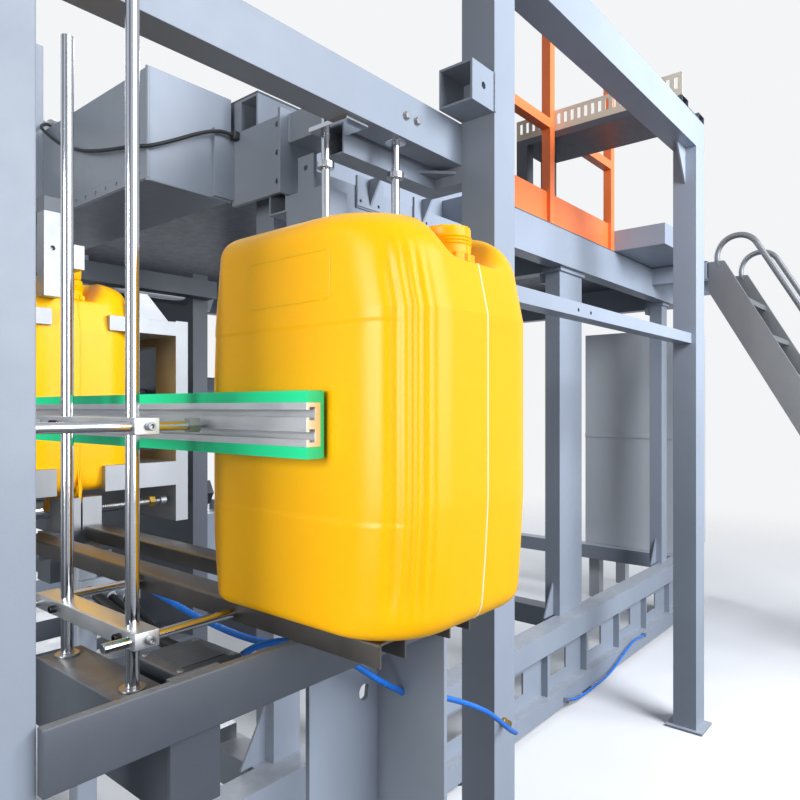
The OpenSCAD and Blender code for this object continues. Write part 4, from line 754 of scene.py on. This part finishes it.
# %% Clamp bars with their screws
BAR_HALF = 10
CLAMP_X, CLAMP_Y = (1463, 1733), (-267.5, -236.5)
UPRIGHT_XS, UPRIGHT_Y = {"left": 1527, "right": 1699}, -252
bar_low = 1191.5 - SLIDE_DROP
bar_high = float(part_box("clamp_bars")[1][2]) * 1000 - BAR_HALF
socket_head = [(4.6, 0), (5, 0.5), (5, 7.4), (4.4, 8), (2.7, 8), (2.5, 4.2), (0.2, 4)]
for label, z in (("low", bar_low), ("high", bar_high)):
    corners = (CLAMP_X[0], CLAMP_Y[0], z - BAR_HALF), (CLAMP_X[1], CLAMP_Y[1], z + BAR_HALF)
    bar = soft_block(f"clamp_bar_{label}", *corners, 1.0, extruded, "frame", "aluminium")
    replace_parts(bar, "clamp_bars")
    for i, x in enumerate(UPRIGHT_XS.values()):
        screw = turned(f"clamp_screw_{label}_{i + 1}", (x, CLAMP_Y[0], z), (0, -1, 0), socket_head,
                       black_steel, "frame", "dark_paint")
        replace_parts(screw, "clamp_screws")
    turned(f"clamp_screw_{label}_end", (CLAMP_X[1], -250, z), (1, 0, 0), socket_head,
           bright_steel, "frame", "steel")
print("clamp bars at heights", round(bar_low, 1), round(bar_high, 1))

# %% Adjusting rods, couplings and collars
REACH_XS, RAIL_NEAR, COUPLING = (1479, 1723), -124.0, 22
guide_near = float(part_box("guide_profile")[0][1]) * 1000
rods = [("low_left", REACH_XS[0], -377.5, RAIL_NEAR, bar_low),
        ("low_right", REACH_XS[1], -300.0, RAIL_NEAR, bar_low),
        ("high_left", REACH_XS[0], -394.5, guide_near - COUPLING, bar_high),
        ("high_right", REACH_XS[1], -394.5, guide_near - COUPLING, bar_high)]
for label, x, near, far, z in rods:
    profile = [(5.2, 0), (6, 0.8), (6, far - near - 0.1), (5.9, far - near)]
    rod = turned("reach_rod_" + label, (x, near, z), (0, 1, 0), profile, chrome, "frame", "chrome", sides=32)
    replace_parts(rod, "reach_rods")
    if label.startswith("high"):
        coupling = [(10, 0), (10, 14), (9, 15), (4, 15), (4, COUPLING)]
        turned("rod_coupling_" + label, (x, far, z), (0, 1, 0), coupling, bright_steel, "frame", "steel",
               sides=6)
washer = [(6.1, 0), (11, 0), (11, 8), (6.1, 8)]
turned("rod_washer", (REACH_XS[0], -138, bar_low), (0, 1, 0), washer, bright_steel, "frame", "steel")
disc = [(8.1, 0), (15.2, 0), (15.6, 0.4), (15.6, 2.4), (15.0, 3), (9.4, 3.1), (8.9, 3.8), (8.1, 4)]
for side, x in UPRIGHT_XS.items():
    collar = turned(f"rod_collar_{side}", (x, UPRIGHT_Y, FOOT_TOP), (0, 0, 1), disc,
                    bright_steel, "frame", "chrome", sides=48)
    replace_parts(collar, "rod_collars")
print("rods end", round(guide_near, 1), "at the guide and", RAIL_NEAR, "at the rail")

# %% [markdown]
# ## Weld beads and hose fittings
# The frame's plates and tubes are joined by fillet welds. A bead could be a bump in the paint, but it
# stands proud and breaks the line of the corner, so it is a swept tube whose radius swells with each
# drop of the weld. The hoses end in turned ferrules, glands and a brass fitting.

# %% Weld beads
def weld(name, points, radius=3.2):
    """Bead along a line: radius times (1 + 0.16 times a rectified sine every 5 mm, so that each drop shows,
    + 0.07 times a slower sine)."""
    p = np.array(points, float)
    length = np.linalg.norm(np.diff(p, axis=0), axis=1)
    place_on = np.concatenate([[0], np.cumsum(length)])
    t = np.arange(0, place_on[-1], 1.4)
    line = np.stack([np.interp(t, place_on, p[:, i]) for i in range(3)], 1)
    swell = radius * (1 + 0.16 * np.abs(np.sin(math.pi * t / 5.0)) + 0.07 * np.sin(t * 0.37))
    return piece(name, grid_mesh(name, sweep(line, swell, 8)), grey_enamel, "frame", smooth=60)


beam_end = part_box("top_beam")[1][0] * 1000
beam_welds = [[(850, 246, 2042), (850, 246, 2328)], [(850, 250, 2038), (850, 498, 2038)],
              [(851, 502, 2042), (851, 502, 2228)]]
tie_welds = [[(1072, 504, 2030), (1072, 504, 2228)], [(1083, 517, 2155), (1083, 517, 2228)],
             [(1074, 782, 2048), (1074, 898, 2048)], [(1074, 1051, 2048), (1074, 1137, 2048)]]
post_welds = [[(1441, 802, 2198), (1441, 900, 2198)], [(1443, 801, 2302), (1541, 801, 2302)],
              [(1542, 801, 2200), (1542, 801, 2300)], [(1441, -410, 12), (1541, -410, 12)],
              [(1544, 802, 12), (1544, 900, 12)]]
for i, line in enumerate(beam_welds + tie_welds + post_welds):
    weld(f"weld_bead_{i + 1}", line)
print("beam end at", round(beam_end), "welds", i + 1)

# %% Fittings of the hoses, junction box lid and bolts of the lintel
for i, (y, z) in enumerate(((2290, 50), (3300, 100))):
    clip = soft_block(f"hose_clip_{i + 1}", (995.2, y, z), (1021, y + 10, z + 20), 3,
                      bright_steel, "frame", "steel")
    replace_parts(clip, "air_hoses")
for name, at, axis, r in (("box_gland", (1668, -90, 1096), (0, 1, 0), 9),
                          ("gland_side", (1690, -138, 1080), (1, 0, 0), 11)):
    profile = [(r, 0), (r, 6), (r * 0.86, 7), (r * 0.86, 9), (r, 9.5), (r * 0.98, 14),
               (r * 0.7, 17), (r * 0.5, 17)]
    turned(name, at, axis, profile, whitened, "frame", "light_paint", sides=12)
brass_end = [(12, 0), (12, 9), (9, 10), (9, 20), (7, 24), (4, 24)]
fitting = turned("post_fitting", (1541, 840, 640), (1, 0, 0), brass_end, brass, "frame", "steel", sides=6)
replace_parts(fitting, "air_hoses")
for name, run in (("a", OIL_RUNS[0]), ("b", OIL_RUNS[1]), ("c", OIL_RUNS[2])):
    for end, at, axis in (("near", run[0], (1, 0, 0)), ("far", run[-1], (-1, 0, 0))):
        profile = [(12.5, 0), (12.5, 9), (11, 10), (11, 26), (10, 28), (9.2, 28)]
        turned(f"hose_ferrule_{name}_{end}", at, axis, profile, bright_steel, "frame", "steel", sides=24)
flange = [(10.2, 0), (26, 0), (26, 3), (17, 4), (17, 11), (15, 13), (10.2, 13)]
turned("rod_flange", (1407, 571, 2086), (0, 0, 1), flange, chrome, "frame", "chrome", sides=36)
for i, y in enumerate((570, 611)):
    bolt(f"lintel_bolt_{i + 1}", (1441, y, 2142), (1, 0, 0), 10)
for name, low, high, r in (("cable_gland_low", (96, 310, 2330), (131, 350, 2352), 4),
                           ("cable_gland_end", (866, 485, 2206), (886, 505, 2230), 3)):
    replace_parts(soft_block(name, low, high, r, black_nylon, "frame", "black_plastic"), "black_cable")
soft_block("junction_box_lid", (1583, -188, 1096), (1692, -88, 1112), 3, dark_enamel_and_painted_shade, "frame", "dark_paint")
low_head = [(5, 0), (5, 1.6), (3.6, 2.4), (0.5, 2.4)]
for i, (x, y) in enumerate(((1594, -177), (1681, -177), (1594, -99), (1681, -99))):
    turned(f"lid_screw_{i + 1}", (x, y, 1111), (0, 0, 1), low_head, bright_steel, "frame", "steel")
print("fittings placed")

# %% Thread and nut of the mask's adjusting screw
def screw_thread(name, at, length, radius, pitch, material, body):
    """Round thread along +Y: radius plus 0.9 times the cosine of the angle less the turns made so far."""
    a = np.linspace(0, 2 * math.pi, 24, endpoint=False)[None]
    y = np.arange(0, length, pitch / 6)[:, None]
    r = radius + 0.9 * np.cos(a - 2 * math.pi * y / pitch)
    grid = np.stack([at[0] + r * np.cos(a), at[1] + y + 0 * a, at[2] + r * np.sin(a)], -1)
    return piece(name, grid_mesh(name, grid), material, body, smooth=0)


SCREW_Y, SCREW_Z = 44.0, 1232.0
clamp_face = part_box("flash_clamps")[1][0] * 1000
screw_at = (clamp_face - 41, SCREW_Y, SCREW_Z)
screw_thread("adjusting_thread", screw_at, 146, 6.6, 5.0, bright_steel, "clamp_carriage")
nut = [(13, 0), (13, 13), (11, 14), (6, 14)]
turned("adjusting_nut", (screw_at[0], 165.0, SCREW_Z), (0, 1, 0), nut, brass, "clamp_carriage", "steel",
       sides=6, smooth=20)
print("adjusting screw at", [round(float(v), 1) for v in screw_at])

# %% [markdown]
# ## Stage and light
# The machine stands in a bright hall with daylight from the side where the cans leave. Here that is one
# large soft lamp far out on that side, two small softboxes for the can and the far corner, a broad weak
# one behind, and a pale world. The floor is plain and fades out far away, so no metal mirrors its edge.

# %% Floor
floor_mesh = bpy.data.meshes.new("floor")
floor_mesh.from_pydata([(-40, -40, 0), (40, -40, 0), (40, 40, 0), (-40, 40, 0)], [], [(0, 1, 2, 3)])
floor = bpy.data.objects.new("floor", floor_mesh)
scene.collection.objects.link(floor)
floor_paint, floor_shader, floor_at = start("Pale_floor", Roughness=0.7)
path = add(floor_paint, "ShaderNodeLightPath")
# The camera sees the floor pale, and the light that it throws back on the machine is darker
floor_mix = add(floor_paint, "ShaderNodeMix", {"data_type": "RGBA"}, Factor=(path, "Is Camera Ray"),
                _6=linear("#6C6D70"), _7=linear("#EDEEF0"))
link(floor_paint, floor_mix, "Result", floor_shader, "Base Color")
distance = add(floor_paint, "ShaderNodeVectorMath", {"operation": "LENGTH"}, _0=(floor_at, "Object"))
fade = add(floor_paint, "ShaderNodeMapRange", {"interpolation_type": "SMOOTHSTEP"}, Value=(distance, "Value"),
           From_Min=4.0, From_Max=10.0, To_Min=1.0, To_Max=0.0)
link(floor_paint, fade, "Result", floor_shader, "Alpha")
floor_mesh.materials.append(floor_paint)
print("floor fades out from 4 to 10 m")

# %% Lamps
def lamp(name, place, towards, size, watts, colour):
    """A square area lamp of that size in metres, aimed from place towards a point."""
    data = bpy.data.lights.new(name, "AREA")
    data.shape, data.size, data.energy, data.color = "SQUARE", size, watts, linear(colour)[:3]
    obj = bpy.data.objects.new(name, data)
    scene.collection.objects.link(obj)
    obj.location = place
    obj.rotation_euler = (Vector(towards) - Vector(place)).to_track_quat("-Z", "Y").to_euler()
    return obj


lamp("daylight", (12.0, 3.0, 5.0), (0.6, 0.8, 1.4), 10.0, 1750, "#F4F8FF")
lamp("front_softbox", (1.95, -2.2, 1.75), (1.7, 0, 1.35), 1.2, 54, "#FFFDF8")
lamp("far_softbox", (3.6, 2.0, 3.0), (0.6, 3.5, 1.1), 1.2, 135, "#F6F9FF")
lamp("rear_softbox", (-7.0, 5.0, 5.0), (0.0, 2.0, 1.0), 5.0, 500, "#F6F9FF")
scene.objects["far_softbox"].visible_glossy = False

# %% World
SKY, BACKDROP = linear("#DDE3EC"), linear("#F4F5F7")
world = bpy.data.worlds.new("pale_hall")
world.use_nodes = True
scene.world = world
tree = world.node_tree


def backdrop(colour, strength, node=None):
    """A background shader of that colour and strength, on a given node or a new one."""
    node = node or tree.nodes.new("ShaderNodeBackground")
    node.inputs["Color"].default_value = colour
    node.inputs["Strength"].default_value = strength
    return node


def choose(by, first, second):
    """A shader that is the first where by is 0 and the second where it is 1."""
    mix = tree.nodes.new("ShaderNodeMixShader")
    for source, socket in ((by, 0), (first.outputs[0], 1), (second.outputs[0], 2)):
        tree.links.new(source, mix.inputs[socket])
    return mix


rays = tree.nodes.new("ShaderNodeLightPath").outputs
seen = tree.nodes.new("ShaderNodeMath")
seen.operation = "MAXIMUM"
tree.links.new(rays["Is Camera Ray"], seen.inputs[0])
tree.links.new(rays["Is Transmission Ray"], seen.inputs[1])
# The metals mirror a bright sky, the paints are lit by a dim one, and the camera sees the backdrop
lit = choose(rays["Is Glossy Ray"], backdrop(SKY, 0.16, tree.nodes["Background"]), backdrop(SKY, 0.9))
sky = choose(seen.outputs["Value"], lit, backdrop(BACKDROP, 1.0))
tree.links.new(sky.outputs["Shader"], tree.nodes["World Output"].inputs["Surface"])
print("world:", world.name)

# %% Import json
import json
